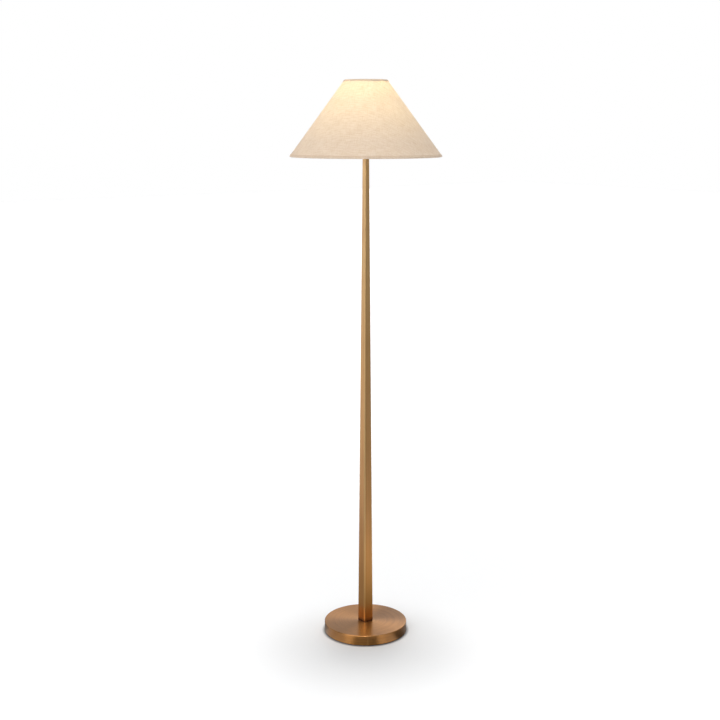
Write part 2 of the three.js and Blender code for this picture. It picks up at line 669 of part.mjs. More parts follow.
function buildHolder() {
  const holder = new THREE.Group();
  holder.position.z = HOLDER_BASE;
  addPiece(holder, 'holder_cap', holderCapGeometry(), BRASS);
  addPiece(holder, 'holder_skirt', skirtGeometry(), BRASS);
  addPiece(holder, 'holder_insert', insertGeometry(), PORCELAIN);
  addPiece(holder, 'holder_screw_shell', screwShellGeometry(), NICKEL);
  addPiece(holder, 'holder_centre_contact', centreContactGeometry(), NICKEL);
  addPiece(holder, 'switch_body', switchBodyGeometry(), BLACK_PLASTIC);

  const terminalHeight = 25;
  [['live', 1], ['neutral', -1]].forEach(([pole, side]) => {
    const screw = disc(SCREW_RADIUS, 0, 2, SMALL_SEGMENTS).rotateY((side * Math.PI) / 2);
    addPiece(holder, `holder_${pole}_screw`, screw, NICKEL)
      .position.set(side * (SWITCH_BODY_RADIUS + GAP), 0, terminalHeight);
    const route = [
      [side * 1.3, 0, 8.6],
      [side * 4, 0, 10.6],
      [side * 10, 0, 11.2],
      [side * 15.2, 0, 11.9],
      [side * 16.4, 0, 16],
      [side * 16.4, 0, terminalHeight - SCREW_RADIUS - GAP],
    ];
    addPiece(holder, `holder_${pole}_core`, tube(route, CORE_RADIUS, 10, 6), FLEX_PVC);
  });

  const spindle = pinAlongY(SPINDLE_RADIUS, -CAP_RADIUS - 10, -8, SWITCH_HEIGHT);
  addPiece(holder, 'switch_spindle', spindle, NICKEL);
  addPiece(holder, 'switch_knob', knobGeometry(), BRASS);

  const seatRing = addPiece(holder, 'shade_seat_ring', shadeRingGeometry(), BRASS);
  seatRing.rotation.x = Math.PI;
  seatRing.position.z = CARRIER_SEAT - GAP;
  const clampRing = addPiece(holder, 'shade_clamp_ring', shadeRingGeometry(), BRASS);
  clampRing.position.z = CARRIER_SEAT + CARRIER_THICKNESS + GAP;
  return holder;
}

// ---------------------------------------------------------------- bulb, from its centre contact

function bulbHousingGeometry() {
  const joinRadius = Math.sqrt(BULB_RADIUS ** 2 - (BULB_LENGTH - BULB_RADIUS - BULB_JOIN) ** 2);
  const wall = 1.5;
  const outside = [
    [13.4, 27.8],
    [13.8, 34],
    [17, 44],
    [22.5, 56],
    [26.6, 64],
    [joinRadius, BULB_JOIN - GAP],
  ];
  const inside = outside.slice(1).map(([radius, height]) => [radius - wall, height]).reverse();
  return turned(closed([
    [9.8, 20],
    [11.2, 20],
    [11.2, 27.8],
    ...outside,
    ...inside,
    [9.8, 29.5],
  ]));
}

function bulbGlobeGeometry() {
  const centre = BULB_LENGTH - BULB_RADIUS;
  const lowEdge = THREE.MathUtils.radToDeg(Math.asin((BULB_JOIN - centre) / BULB_RADIUS));
  return turned([
    ...arc(0, centre, BULB_RADIUS, lowEdge, 90, 6),
    ...arc(0, centre, BULB_RADIUS - GLOBE_WALL, 90, lowEdge, 6),
    arc(0, centre, BULB_RADIUS, lowEdge, 90, 6)[0],
  ]);
}

function buildBulb() {
  const bulb = new THREE.Group();
  bulb.position.z = HOLDER_BASE + BULB_SEAT;
  const contact = turned([[0, 0], [3.2, 0], [4.6, 0.9], [4.6, 1.5], [0, 1.5]], BORE_SEGMENTS);
  addPiece(bulb, 'bulb_contact', contact, NICKEL);
  const cone = [[0, 1.8], [5.2, 1.8], [BULB_CAP_LIP_RADIUS, 5.5], [0, 5.5]];
  const insulator = turned(cone, BORE_SEGMENTS);
  addPiece(bulb, 'bulb_insulator', insulator, BLACK_PLASTIC);
  addPiece(bulb, 'bulb_cap', turned(closed([
    [BULB_CAP_LIP_RADIUS, 5.8],
    [11, 5.8],
    ...thread(12.3, BULB_THREAD_RADIUS, 7, 25, 4),
    [BULB_THREAD_RADIUS, BULB_CAP_TOP],
    [BULB_CAP_BORE_RADIUS, BULB_CAP_TOP],
    [BULB_CAP_BORE_RADIUS, 7.2],
    [BULB_CAP_LIP_RADIUS, 6.6],
  ])), NICKEL);
  addPiece(bulb, 'bulb_housing', bulbHousingGeometry(), WHITE_PLASTIC);
  const boardTop = BULB_JOIN - 1.6;
  const board = disc(LED_BOARD_RADIUS, boardTop - LED_BOARD_THICKNESS, boardTop);
  addPiece(bulb, 'bulb_led_board', board, STEEL);
  addPiece(bulb, 'bulb_globe', bulbGlobeGeometry(), OPAL);
  return bulb;
}

// ---------------------------------------------------------------- shade, from its bottom edge

const TOP_WIRE = new THREE.Vector2(SHADE_TOP_RADIUS - TRIM_RADIUS, SHADE_HEIGHT - TRIM_RADIUS);
const BOTTOM_WIRE = new THREE.Vector2(SHADE_BOTTOM_RADIUS - TRIM_RADIUS, TRIM_RADIUS);
const SLANT = BOTTOM_WIRE.clone().sub(TOP_WIRE);
const SLANT_DEG = THREE.MathUtils.radToDeg(SLANT.angle());

// A point of the cone's section: distance down the slant from the top wire, and distance outwards.
function onSlant(distance, outwards) {
  const along = SLANT.clone().normalize();
  const out = new THREE.Vector2(-along.y, along.x);
  const point = TOP_WIRE.clone().addScaledVector(along, distance).addScaledVector(out, outwards);
  return [point.x, point.y];
}

function coneSheet(innerOffset) {
  const start = TRIM_RADIUS + GAP;
  const end = SLANT.length() - TRIM_RADIUS - GAP;
  return turned(closed([
    onSlant(end, innerOffset),
    onSlant(end, innerOffset + SHEET_THICKNESS),
    onSlant(start, innerOffset + SHEET_THICKNESS),
    onSlant(start, innerOffset),
  ]), SHADE_SEGMENTS);
}

// A rolled edge: a C-section round the wire ring, open towards the cone's sheets.
function rolledTrim(wire, openingDeg) {
  const halfMouth = 30;
  const [from, to] = [openingDeg + halfMouth, openingDeg + 360 - halfMouth];
  return turned(closed([
    ...arc(wire.x, wire.y, TRIM_RADIUS, from, to, 5),
    ...arc(wire.x, wire.y, TRIM_RADIUS - TRIM_WALL, to, from, 5),
  ]), SHADE_SEGMENTS);
}

function wireRing(wire) {
  return turned(arc(wire.x, wire.y, WIRE_RADIUS, 0, 360, 6), SHADE_SEGMENTS);
}

function spokeGeometry(angleDeg) {
  const carrierHeight = HOLDER_BASE + CARRIER_SEAT + CARRIER_THICKNESS / 2 - SHADE_BASE;
  const footRadius = SHADE_RING_RADIUS - 0.5 + GAP + SPOKE_RADIUS;
  const headRadius = TOP_WIRE.x - TRIM_RADIUS - GAP - SPOKE_RADIUS;
  const route = [
    [headRadius, 0, TOP_WIRE.y],
    [footRadius + 3.2, 0, carrierHeight + 9],
    [footRadius, 0, carrierHeight],
  ];
  return tube(route, SPOKE_RADIUS, 10).rotateZ(THREE.MathUtils.degToRad(angleDeg));
}

function buildShade() {
  const shade = new THREE.Group();
  shade.position.z = SHADE_BASE;
  const carrierBottom = HOLDER_BASE + CARRIER_SEAT - SHADE_BASE;
  addPiece(shade, 'shade_cover', coneSheet(WIRE_RADIUS - 0.2), LINEN);
  addPiece(shade, 'shade_liner', coneSheet(WIRE_RADIUS - 0.2 - GAP - SHEET_THICKNESS), LINER);
  addPiece(shade, 'shade_top_ring', wireRing(TOP_WIRE), WHITE_WIRE);
  addPiece(shade, 'shade_bottom_ring', wireRing(BOTTOM_WIRE), WHITE_WIRE);
  addPiece(shade, 'shade_top_trim', rolledTrim(TOP_WIRE, SLANT_DEG), LINEN);
  addPiece(shade, 'shade_bottom_trim', rolledTrim(BOTTOM_WIRE, SLANT_DEG - 180), LINEN);
  addPiece(shade, 'shade_carrier_ring', ring(
    THREAD_RADIUS + 2 * GAP,
    SHADE_RING_RADIUS - 0.5,
    carrierBottom,
    carrierBottom + CARRIER_THICKNESS,
  ), WHITE_WIRE);
  for (let i = 0; i < SPOKE_COUNT; i += 1) {
    addPiece(shade, `shade_spoke_${i + 1}`, spokeGeometry(90 + (i * 360) / SPOKE_COUNT), WHITE_WIRE);
  }
  return shade;
}

// ---------------------------------------------------------------- the whole lamp

const lamp = new THREE.Group();
lamp.add(buildBase(), buildPost(), buildHolder(), buildBulb(), buildShade());

export default lamp;
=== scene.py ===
"""A lit floor lamp: a tapered square brass post on a round base, with a conical linen shade.

Lengths are in metres. Z is up, and the origin is on the floor, on the post's axis.
"""

import math

import bpy
from mathutils import Matrix, Vector, noise


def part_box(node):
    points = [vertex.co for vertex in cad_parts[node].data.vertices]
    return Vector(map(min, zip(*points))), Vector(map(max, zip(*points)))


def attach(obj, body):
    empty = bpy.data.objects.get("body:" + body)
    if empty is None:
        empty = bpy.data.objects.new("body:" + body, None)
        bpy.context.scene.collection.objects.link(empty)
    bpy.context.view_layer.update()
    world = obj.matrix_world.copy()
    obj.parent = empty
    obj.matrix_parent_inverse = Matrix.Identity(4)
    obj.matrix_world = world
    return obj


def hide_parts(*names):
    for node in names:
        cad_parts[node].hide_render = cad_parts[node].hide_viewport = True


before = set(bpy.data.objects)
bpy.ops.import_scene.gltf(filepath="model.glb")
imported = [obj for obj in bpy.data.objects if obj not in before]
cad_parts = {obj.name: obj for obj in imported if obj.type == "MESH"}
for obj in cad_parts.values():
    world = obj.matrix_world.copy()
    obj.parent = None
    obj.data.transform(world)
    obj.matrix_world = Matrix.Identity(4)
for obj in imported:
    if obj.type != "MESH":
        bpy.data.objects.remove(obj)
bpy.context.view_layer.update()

TAU = 2 * math.pi
MM = 0.001
GAP = 0.3 * MM  # between pieces that touch, as in the CAD model
ON_AXIS = 1e-7  # a point nearer the axis than this is on it
SHARP_ANGLE = math.radians(35)  # faces that meet at more than this keep a sharp edge


# ------------------------ meshes


def polar(radius, angle, height):
    return Vector((radius * math.cos(angle), radius * math.sin(angle), height))


def lofted(rings, closed=True):
    """Vertices and faces of a surface through rings of points; a ring of one point is a pole."""
    vertices, numbers = [], []
    sides = max(len(ring) for ring in rings)
    for ring in rings:
        first = len(vertices)
        vertices.extend(ring)
        numbers.append([first + (i if len(ring) > 1 else 0) for i in range(sides)])
    faces = []
    ends = numbers[1:] + numbers[:1] if closed else numbers[1:]
    for low, high in zip(numbers, ends):
        for i in range(sides):
            j = (i + 1) % sides
            face = list(dict.fromkeys([low[i], low[j], high[j], high[i]]))
            if len(face) > 2:
                faces.append(face)
    return vertices, faces


def turned(profile, segments=96, swell=None):
    """A solid turned about Z from (radius, height) points, listed anticlockwise.

    swell, if given, takes each point's radius, height and angle, and gives its real radius.
    """
    rings = []
    for radius, height in profile:
        if radius < ON_AXIS:
            rings.append([Vector((0, 0, height))])
            continue
        ring = []
        for i in range(segments):
            angle = TAU * i / segments
            reach = swell(radius, height, angle) if swell else radius
            ring.append(polar(reach, angle, height))
        rings.append(ring)
    return lofted(rings)


def arc(centre, radius, start_deg, end_deg, steps):
    """Points on an arc of the (radius, height) plane."""
    angles = [math.radians(start_deg + (end_deg - start_deg) * i / steps) for i in range(steps + 1)]
    return [(centre[0] + radius * math.cos(a), centre[1] + radius * math.sin(a)) for a in angles]


def eased_bend(start, corner, end, steps):
    """Points on the curve that leaves start and reaches end, each towards the corner."""
    shares = [step / steps for step in range(steps + 1)]
    return [start * (1 - t) ** 2 + corner * 2 * t * (1 - t) + end * t**2 for t in shares]


def rounded(outline, radius, steps=4):
    """The closed outline with its corners eased by curves that start at most radius from them."""
    points = [Vector(p) for p in outline]
    eased = []
    for i, corner in enumerate(points):
        back, on = points[i - 1] - corner, points[(i + 1) % len(points)] - corner
        if corner.x < ON_AXIS:
            eased.append(tuple(corner))
            continue
        reach = min(radius, back.length * 0.4, on.length * 0.4)
        start, end = corner + back.normalized() * reach, corner + on.normalized() * reach
        eased += [tuple(point) for point in eased_bend(start, corner, end, steps)]
    return eased


def square_ring(side, corner, height, steps=6):
    """One ring of a square with rounded corners, anticlockwise from the -Y side of +X."""
    far = side / 2 - corner
    ring = []
    for quarter, (x, y) in enumerate([(1, -1), (1, 1), (-1, 1), (-1, -1)]):
        for step in range(steps + 1):
            angle = math.radians(90 * (quarter - 1) + 90 * step / steps)
            out_x, out_y = x * far + corner * math.cos(angle), y * far + corner * math.sin(angle)
            ring.append(Vector((out_x, out_y, height)))
    return ring


def ring_like(other, radius, height):
    """A circle with its points at the same angles as another ring's."""
    return [polar(radius, math.atan2(p.y, p.x), height) for p in other]


def bent(points, reach, pitch=4 * MM, steps=8):
    """A path of straight runs, its bends eased by curves that start reach from the points."""
    path = [Vector(points[0])]
    for before, corner, after in zip(points, points[1:], points[2:]):
        before, corner, after = Vector(before), Vector(corner), Vector(after)
        start = corner + (before - corner).normalized() * reach
        end = corner + (after - corner).normalized() * reach
        path += eased_bend(start, corner, end, steps)
    path.append(Vector(points[-1]))
    dense = [path[0]]
    for a, b in zip(path, path[1:]):
        parts = math.ceil((b - a).length / pitch)
        dense += [a.lerp(b, part / parts) for part in range(1, parts + 1)]
    return dense


def tube(path, radius_at, sides=20):
    """A round bar along a path; radius_at takes the distance from the nearer end."""
    passed = [0.0]
    for a, b in zip(path, path[1:]):
        passed.append(passed[-1] + (b - a).length)
    side = (path[1] - path[0]).orthogonal().normalized()
    rings = [[path[0]]]
    for i, point in enumerate(path):
        ahead = (path[min(i + 1, len(path) - 1)] - path[max(i - 1, 0)]).normalized()
        side = (side - ahead * side.dot(ahead)).normalized()
        other = ahead.cross(side)
        radius = radius_at(min(passed[i], passed[-1] - passed[i]))
        turns = [TAU * k / sides for k in range(sides)]
        rings.append([point + radius * (math.cos(a) * side + math.sin(a) * other) for a in turns])
    rings.append([path[-1]])
    return lofted(rings, closed=False)


def along_y(shape, sign, height):
    """A shape that was turned about Z, laid down so that its axis points along +Y or -Y."""
    vertices, faces = shape
    matrix = Matrix.Translation((0, 0, height)) @ Matrix.Rotation(-sign * math.pi / 2, 4, "X")
    return [matrix @ v for v in vertices], faces


def pin(radius, near, far):
    """The outline of a plain round bar on the axis."""
    return [(0, near), (radius, near), (radius, far), (0, far)]


def mesh_object(name, shape, material):
    mesh = bpy.data.meshes.new(name)
    mesh.from_pydata([tuple(v) for v in shape[0]], [], shape[1])
    mesh.polygons.foreach_set("use_smooth", [True] * len(mesh.polygons))
    mesh.set_sharp_from_angle(angle=SHARP_ANGLE)
    mesh.validate()
    piece = bpy.data.objects.new(name, mesh)
    bpy.context.scene.collection.objects.link(piece)
    if material:
        mesh.materials.append(material)
    return piece


def cut_away(piece, shape):
    """Takes a shape out of a piece and keeps the result as the piece's own mesh."""
    tool = mesh_object(piece.name + "_tool", shape, None)
    cut = piece.modifiers.new("cut", "BOOLEAN")
    cut.operation, cut.solver, cut.object = "DIFFERENCE", "EXACT", tool
    depsgraph = bpy.context.evaluated_depsgraph_get()
    result = bpy.data.meshes.new_from_object(piece.evaluated_get(depsgraph))
    piece.modifiers.clear()
    piece.data = result
    result.set_sharp_from_angle(angle=SHARP_ANGLE)
    bpy.data.objects.remove(tool)


def add_piece(name, shape, finish, body, node, cut=None):
    """Makes a piece, in one of the finishes below, that stands for a CAD node and rides on its body."""
    slot, material = FINISHES[finish]
    piece = mesh_object(name, shape, material)
    if cut:
        cut_away(piece, cut)
    even = piece.modifiers.new("even shading", "WEIGHTED_NORMAL")
    even.keep_sharp = True
    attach(piece, body)
    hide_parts(node)
    return piece


# ------------------------ materials


def join(tree, value, socket):
    """Links a node's output to a socket, or sets the socket to a value."""
    if isinstance(value, bpy.types.NodeSocket):
        tree.links.new(value, socket)
    elif isinstance(value, (tuple, list)) and len(value) == 3 and socket.type == "RGBA":
        socket.default_value = (*value, 1)
    else:
        socket.default_value = value


def add(tree, kind, inputs=None, output=0, **settings):
    """Adds a node, joins its inputs, which may be values or nodes' outputs, and gives one output."""
    node = tree.nodes.new("ShaderNode" + kind)
    for key, value in settings.items():
        setattr(node, key, value)
    for key, value in (inputs or {}).items():
        join(tree, value, node.inputs[key])
    return node.outputs[output]


def new_material(name, metallic=0.0, roughness=0.5):
    """A material, its node tree and its shader."""
    material = bpy.data.materials.new(name)
    material.use_nodes = True
    tree = material.node_tree
    shader = tree.nodes["Principled BSDF"]
    shader.inputs["Metallic"].default_value = metallic
    shader.inputs["Roughness"].default_value = roughness
    return material, tree, shader


def calc(tree, operation, first, second=0.0):
    return add(tree, "Math", {0: first, 1: second}, operation=operation)


def plus(tree, first, second):
    return calc(tree, "ADD", first, second)


def times(tree, first, second):
    return calc(tree, "MULTIPLY", first, second)


def places(tree):
    return add(tree, "TexCoord", output="Object")


def split(tree, vector):
    """A vector's X, Y and Z."""
    node = tree.nodes.new("ShaderNodeSeparateXYZ")
    join(tree, vector, node.inputs[0])
    return node.outputs[0], node.outputs[1], node.outputs[2]


def scaled(tree, vector, x, y, z=1.0):
    return add(tree, "VectorMath", {0: vector, 1: (x, y, z)}, operation="MULTIPLY")


def length(tree, vector):
    return add(tree, "VectorMath", {0: vector}, output="Value", operation="LENGTH")


def along(tree, vector, direction):
    return add(tree, "VectorMath", {0: vector, 1: direction}, output="Value", operation="DOT_PRODUCT")


def grain(tree, vector, scale, detail=3.0, roughness=0.55):
    """Noise from 0 to 1, with scale bumps to the metre."""
    settings = {"Vector": vector, "Scale": scale, "Detail": detail, "Roughness": roughness}
    return add(tree, "TexNoise", settings)


def spread(tree, value, low, high, start=0.3, end=0.7):
    """Takes a value from start..end to low..high, clamped."""
    return add(tree, "MapRange", {"Value": value, "From Min": start, "From Max": end,
                                  "To Min": low, "To Max": high})


def lobe(tree, direction, towards, half_width, edge, brightness):
    """Brightness within half_width degrees of a direction, fading to nothing over edge degrees."""
    nearness = along(tree, direction, towards)
    full, none = math.cos(math.radians(half_width)), math.cos(math.radians(half_width + edge))
    return add(tree, "MapRange", {"Value": nearness, "From Min": none, "From Max": full,
                                  "To Max": brightness}, interpolation_type="SMOOTHSTEP")


def blended(tree, factor, first, second):
    node = tree.nodes.new("ShaderNodeMix")
    node.data_type = "RGBA"
    for socket, value in ((node.inputs[0], factor), (node.inputs[6], first), (node.inputs[7], second)):
        join(tree, value, socket)
    return node.outputs[2]


def bump(tree, height, distance, strength=1.0):
    return add(tree, "Bump", {"Height": height, "Distance": distance, "Strength": strength})


BRASS_LIGHT = (0.74, 0.38, 0.125)
BRASS_MID = (0.60, 0.250, 0.057)
BRASS_DARK = (0.38, 0.158, 0.038)
BRASS_HIGH_SHEEN = (0.62, 0.465, 0.225)
BRASS_RUBBED_SHEEN = (0.92, 0.62, 0.27)
# painted shadow at the post's foot
BRASS_FOOT_SHADOW = (0.13, 0.045, 0.008)
# painted warm reflection of the base on the post's foot
BRASS_WARM_REFLECTION = (0.68, 0.29, 0.025)

HIGH_SHEEN_FROM, HIGH_SHEEN_FULL = 0.25, 1.1  # heights between which the brass is painted from coppery to golden, a painted paler sheen higher up
WARM_REFLECTION_FULL, WARM_REFLECTION_END = 0.10, 0.36  # heights between which the painted warm reflection of the base on the post's foot fades
FOOT_SHADOW_REACH = 12 * MM  # how far the painted shadow reaches up from the post's foot
# Where on a face of the post, by the smaller over the larger of |x| and |y|, which is 1 on a corner.
DARK_FROM, DARK_FULL = 0.45, 0.66
# where the corners are lighter: rubbed-through wear and a painted highlight
RUBBED_SHEEN_FROM, RUBBED_SHEEN_FULL = 0.68, 0.80

BRUSH_LINES = 900.0  # brush lines to the metre, across them
LINES_UP = 2.2  # and along them, up the post
LINES_ROUND = 5.0  # and along them, round a turned piece
BROAD_LINES = (0.21, 0.7, 0.7)  # the broad streaks, as a share of the fine ones
BRUSH_DEPTH = 0.06 * MM
TARNISH_SPOTS = 11.0  # to the metre
LACQUER, LACQUER_ROUGHNESS = 0.9, 0.22


def brass(name, lines_vector, tangent_turn, anisotropy, broad_tone, foot=0.0):
    """Brushed antique brass; lines_vector changes fast across the brush lines and slowly along them.

    foot is the height of a square post's foot. There the post gets a painted shadow, as dark as patina
    that a buffing wheel can't reach, and a painted warm reflection of the base that fades upwards. Each
    face is darker in streaks towards the corners, and the corners are lighter: rubbed-through wear and
    a painted highlight.
    """
    material, tree, shader = new_material(name, metallic=1.0)
    vector = lines_vector(tree)
    place = places(tree)
    x, y, height = split(tree, place)
    lines = grain(tree, vector, 1.0, detail=4.0, roughness=0.65)
    broad = grain(tree, scaled(tree, vector, *BROAD_LINES), 1.0)
    tarnish = grain(tree, place, TARNISH_SPOTS, detail=4.0, roughness=0.6)
    # painted sheen: the brass paler and more golden higher up
    paler_higher_up = spread(tree, height, 0.0, 0.85, HIGH_SHEEN_FROM, HIGH_SHEEN_FULL)
    ground = blended(tree, paler_higher_up, BRASS_MID, BRASS_HIGH_SHEEN)
    tone = blended(tree, spread(tree, lines, 0.0, 0.5), ground, BRASS_LIGHT)
    tone = blended(tree, spread(tree, broad, broad_tone, 0.0, 0.36, 0.56), tone, BRASS_DARK)
    tone = blended(tree, spread(tree, tarnish, 0.0, 0.3, 0.5, 0.75), tone, BRASS_DARK)
    # lighter on sharp edges: a painted highlight and wear
    edge_sheen_and_wear = add(tree, "NewGeometry", output="Pointiness")
    tone = blended(tree, spread(tree, edge_sheen_and_wear, 0.0, 0.5, 0.52, 0.62), tone, BRASS_LIGHT)
    if foot:
        x, y = calc(tree, "ABSOLUTE", x), calc(tree, "ABSOLUTE", y)
        diagonal = calc(tree, "DIVIDE", calc(tree, "MINIMUM", x, y), calc(tree, "MAXIMUM", x, y))
        beside = times(tree, spread(tree, diagonal, 0.0, 0.36, DARK_FROM, DARK_FULL),
                       spread(tree, broad, 0.3, 1.0, 0.35, 0.6))
        tone = blended(tree, beside, tone, BRASS_DARK)
        # lighter corners: rubbed-through wear and a painted highlight
        rubbed_and_sheen = times(tree, spread(tree, diagonal, 0.0, 1.0, RUBBED_SHEEN_FROM, RUBBED_SHEEN_FULL),
                       spread(tree, lines, 0.45, 0.95))
        tone = blended(tree, rubbed_and_sheen, tone, BRASS_RUBBED_SHEEN)
        # painted reflection: the base's warm light on the post's lower part
        tone = blended(tree, spread(tree, height, 0.5, 0.0, WARM_REFLECTION_FULL, WARM_REFLECTION_END), tone, BRASS_WARM_REFLECTION)
        # painted shadow where the post stands on the base, dark like unbuffed patina
        foot_shadow = spread(tree, height, 1.0, 0.0, foot, foot + FOOT_SHADOW_REACH)
        tone = blended(tree, foot_shadow, tone, BRASS_FOOT_SHADOW)
    join(tree, tone, shader.inputs["Base Color"])
    rough = spread(tree, lines, 0.27, 0.36)
    rough = plus(tree, rough, spread(tree, tarnish, 0.0, 0.06, 0.45, 0.7))
    join(tree, rough, shader.inputs["Roughness"])
    shader.inputs["Anisotropic"].default_value = anisotropy
    shader.inputs["Coat Weight"].default_value = LACQUER
    shader.inputs["Coat Roughness"].default_value = LACQUER_ROUGHNESS
    turn = add(tree, "Tangent", direction_type="RADIAL", axis="Z")
    shader.inputs["Anisotropic Rotation"].default_value = tangent_turn
    join(tree, turn, shader.inputs["Tangent"])
    join(tree, bump(tree, lines, BRUSH_DEPTH), shader.inputs["Normal"])
    return material


def long_lines(tree):
    """Brush lines that run up the post."""
    return scaled(tree, places(tree), BRUSH_LINES, BRUSH_LINES, LINES_UP)


def round_lines(tree):
    """Turning lines that run round Z, on flat tops and upright sides alike."""
    x, y, z = split(tree, places(tree))
    radius = length(tree, add(tree, "CombineXYZ", {0: x, 1: y}))
    across = times(tree, calc(tree, "SUBTRACT", radius, z), BRUSH_LINES)
    x, y = times(tree, x, LINES_ROUND), times(tree, y, LINES_ROUND)
    return add(tree, "CombineXYZ", {0: across, 1: x, 2: y})


def plain_metal(name, colour, dark, roughness, scale=140.0):
    """Plated metal with faint clouds, and fine marks six times smaller than they are."""
    material, tree, shader = new_material(name, metallic=1.0)
    place = places(tree)
    fine, cloud = grain(tree, place, scale * 6, detail=4.0), grain(tree, place, scale)
    join(tree, blended(tree, spread(tree, cloud, 0.0, 0.6), colour, dark), shader.inputs["Base Color"])
    join(tree, spread(tree, fine, roughness * 0.8, roughness * 1.3), shader.inputs["Roughness"])
    join(tree, bump(tree, fine, 0.04 * MM), shader.inputs["Normal"])
    return material


def moulded(name, colour, other, roughness, scale=900.0, depth=0.03 * MM):
    """Plastic, paint or porcelain with a fine skin of the given depth, and large faint clouds."""
    material, tree, shader = new_material(name)
    place = places(tree)
    fine, cloud = grain(tree, place, scale, detail=2.0), grain(tree, place, scale / 25)
    join(tree, blended(tree, spread(tree, cloud, 0.0, 1.0), colour, other), shader.inputs["Base Color"])
    join(tree, spread(tree, fine, roughness * 0.9, roughness * 1.15), shader.inputs["Roughness"])
    join(tree, bump(tree, fine, depth), shader.inputs["Normal"])
    return material


def cast_iron_material():
    material, tree, shader = new_material("cast_iron", metallic=0.6)
    place = places(tree)
    sand, pits = grain(tree, place, 700.0, detail=5.0), grain(tree, place, 160.0, detail=3.0)
    tone = blended(tree, spread(tree, pits, 0.0, 1.0), (0.09, 0.09, 0.095), (0.15, 0.14, 0.13))
    join(tree, tone, shader.inputs["Base Color"])
    join(tree, spread(tree, sand, 0.65, 0.9), shader.inputs["Roughness"])
    join(tree, bump(tree, plus(tree, sand, pits), 0.3 * MM), shader.inputs["Normal"])
    return material


def earth_material():
    """Green and yellow insulation, striped along the wire."""
    material, tree, shader = new_material("earth_pvc", roughness=0.45)
    stripes = 2400.0  # radians to the metre
    stripe = calc(tree, "SINE", times(tree, split(tree, places(tree))[2], stripes))
    stripe = spread(tree, stripe, 0.0, 1.0, -0.1, 0.1)
    tone = blended(tree, stripe, (0.10, 0.36, 0.06), (0.78, 0.66, 0.05))
    join(tree, tone, shader.inputs["Base Color"])
    join(tree, bump(tree, grain(tree, places(tree), 1500.0), 0.02 * MM), shader.inputs["Normal"])
    return material


# The shade's cone: the distance from its apex and the turn round its axis unroll to a flat cut.
TOP_TRIM, BOTTOM_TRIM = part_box("shade_top_trim"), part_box("shade_bottom_trim")
TRIM_RADIUS = 2.3 * MM
WIRE_RADIUS = 1.6 * MM
TOP_WIRE = Vector((TOP_TRIM[1].x - TRIM_RADIUS, TOP_TRIM[1].z - TRIM_RADIUS))
BOTTOM_WIRE = Vector((BOTTOM_TRIM[1].x - TRIM_RADIUS, BOTTOM_TRIM[0].z + TRIM_RADIUS))
SLANT = BOTTOM_WIRE - TOP_WIRE
SLANT_LENGTH = SLANT.length
DOWN = SLANT.normalized()  # down the slant
OUT = Vector((-DOWN.y, DOWN.x))  # out of the shade, square to the slant
SINE = DOWN.x  # of the cone's half angle
APEX_HEIGHT = TOP_WIRE.y - TOP_WIRE.x * DOWN.y / DOWN.x
GRAIN_TURN = math.radians(35)  # where round the shade, from the front, its threads run level

# The linen's painted glow, standing in for the bulb's light through it: its tones, and the heights
# where it starts and is full.
PAINTED_GLOW = (1.0, 0.80, 0.36)
PAINTED_GLOW_DARK = (0.86, 0.66, 0.24)
PAINTED_GLOW_FOOT, PAINTED_GLOW_HEAD = TOP_WIRE.y - 0.170, TOP_WIRE.y - 0.085

WEAVE_PITCH = 1300.0  # radians to the metre, for threads about 2.4 mm apart
SLUBS_ALONG, SLUBS_ACROSS = 45.0, 340.0  # thick places in the threads, to the metre
WEAVE_DEPTH = 0.5 * MM


def flat_places(tree):
    """Places on the shade's flat cut, in metres, with the threads along X and Y."""
    x, y, z = split(tree, places(tree))
    below = calc(tree, "SUBTRACT", z, APEX_HEIGHT)
    reach = length(tree, add(tree, "CombineXYZ", {0: x, 1: y, 2: below}))
    turn = calc(tree, "ARCTAN2", x, times(tree, y, -1.0))
    flat_turn = times(tree, calc(tree, "SUBTRACT", turn, GRAIN_TURN), SINE)
    x, y = calc(tree, "SINE", flat_turn), calc(tree, "COSINE", flat_turn)
    return add(tree, "CombineXYZ", {0: times(tree, reach, x), 1: times(tree, reach, y)})


def weave(tree, vector):
    """The height of a plain weave with slubs, and how thick its threads are there, from 0 to 1."""
    x, y, _ = split(tree, vector)
    warp = calc(tree, "SINE", times(tree, x, WEAVE_PITCH))
    weft = calc(tree, "SINE", times(tree, y, WEAVE_PITCH))
    threads = times(tree, warp, weft)
    level = grain(tree, scaled(tree, vector, SLUBS_ALONG, SLUBS_ACROSS), 1.0, 2.0)
    upright = grain(tree, scaled(tree, vector, SLUBS_ACROSS, SLUBS_ALONG), 1.0, 2.0)
    level = spread(tree, level, 0.0, 1.0, 0.40, 0.70)
    upright = spread(tree, upright, 0.0, 1.0, 0.45, 0.75)
    slubs = plus(tree, times(tree, level, 0.6), times(tree, upright, 0.4))
    height = plus(tree, times(tree, threads, 0.25), slubs)
    return height, slubs


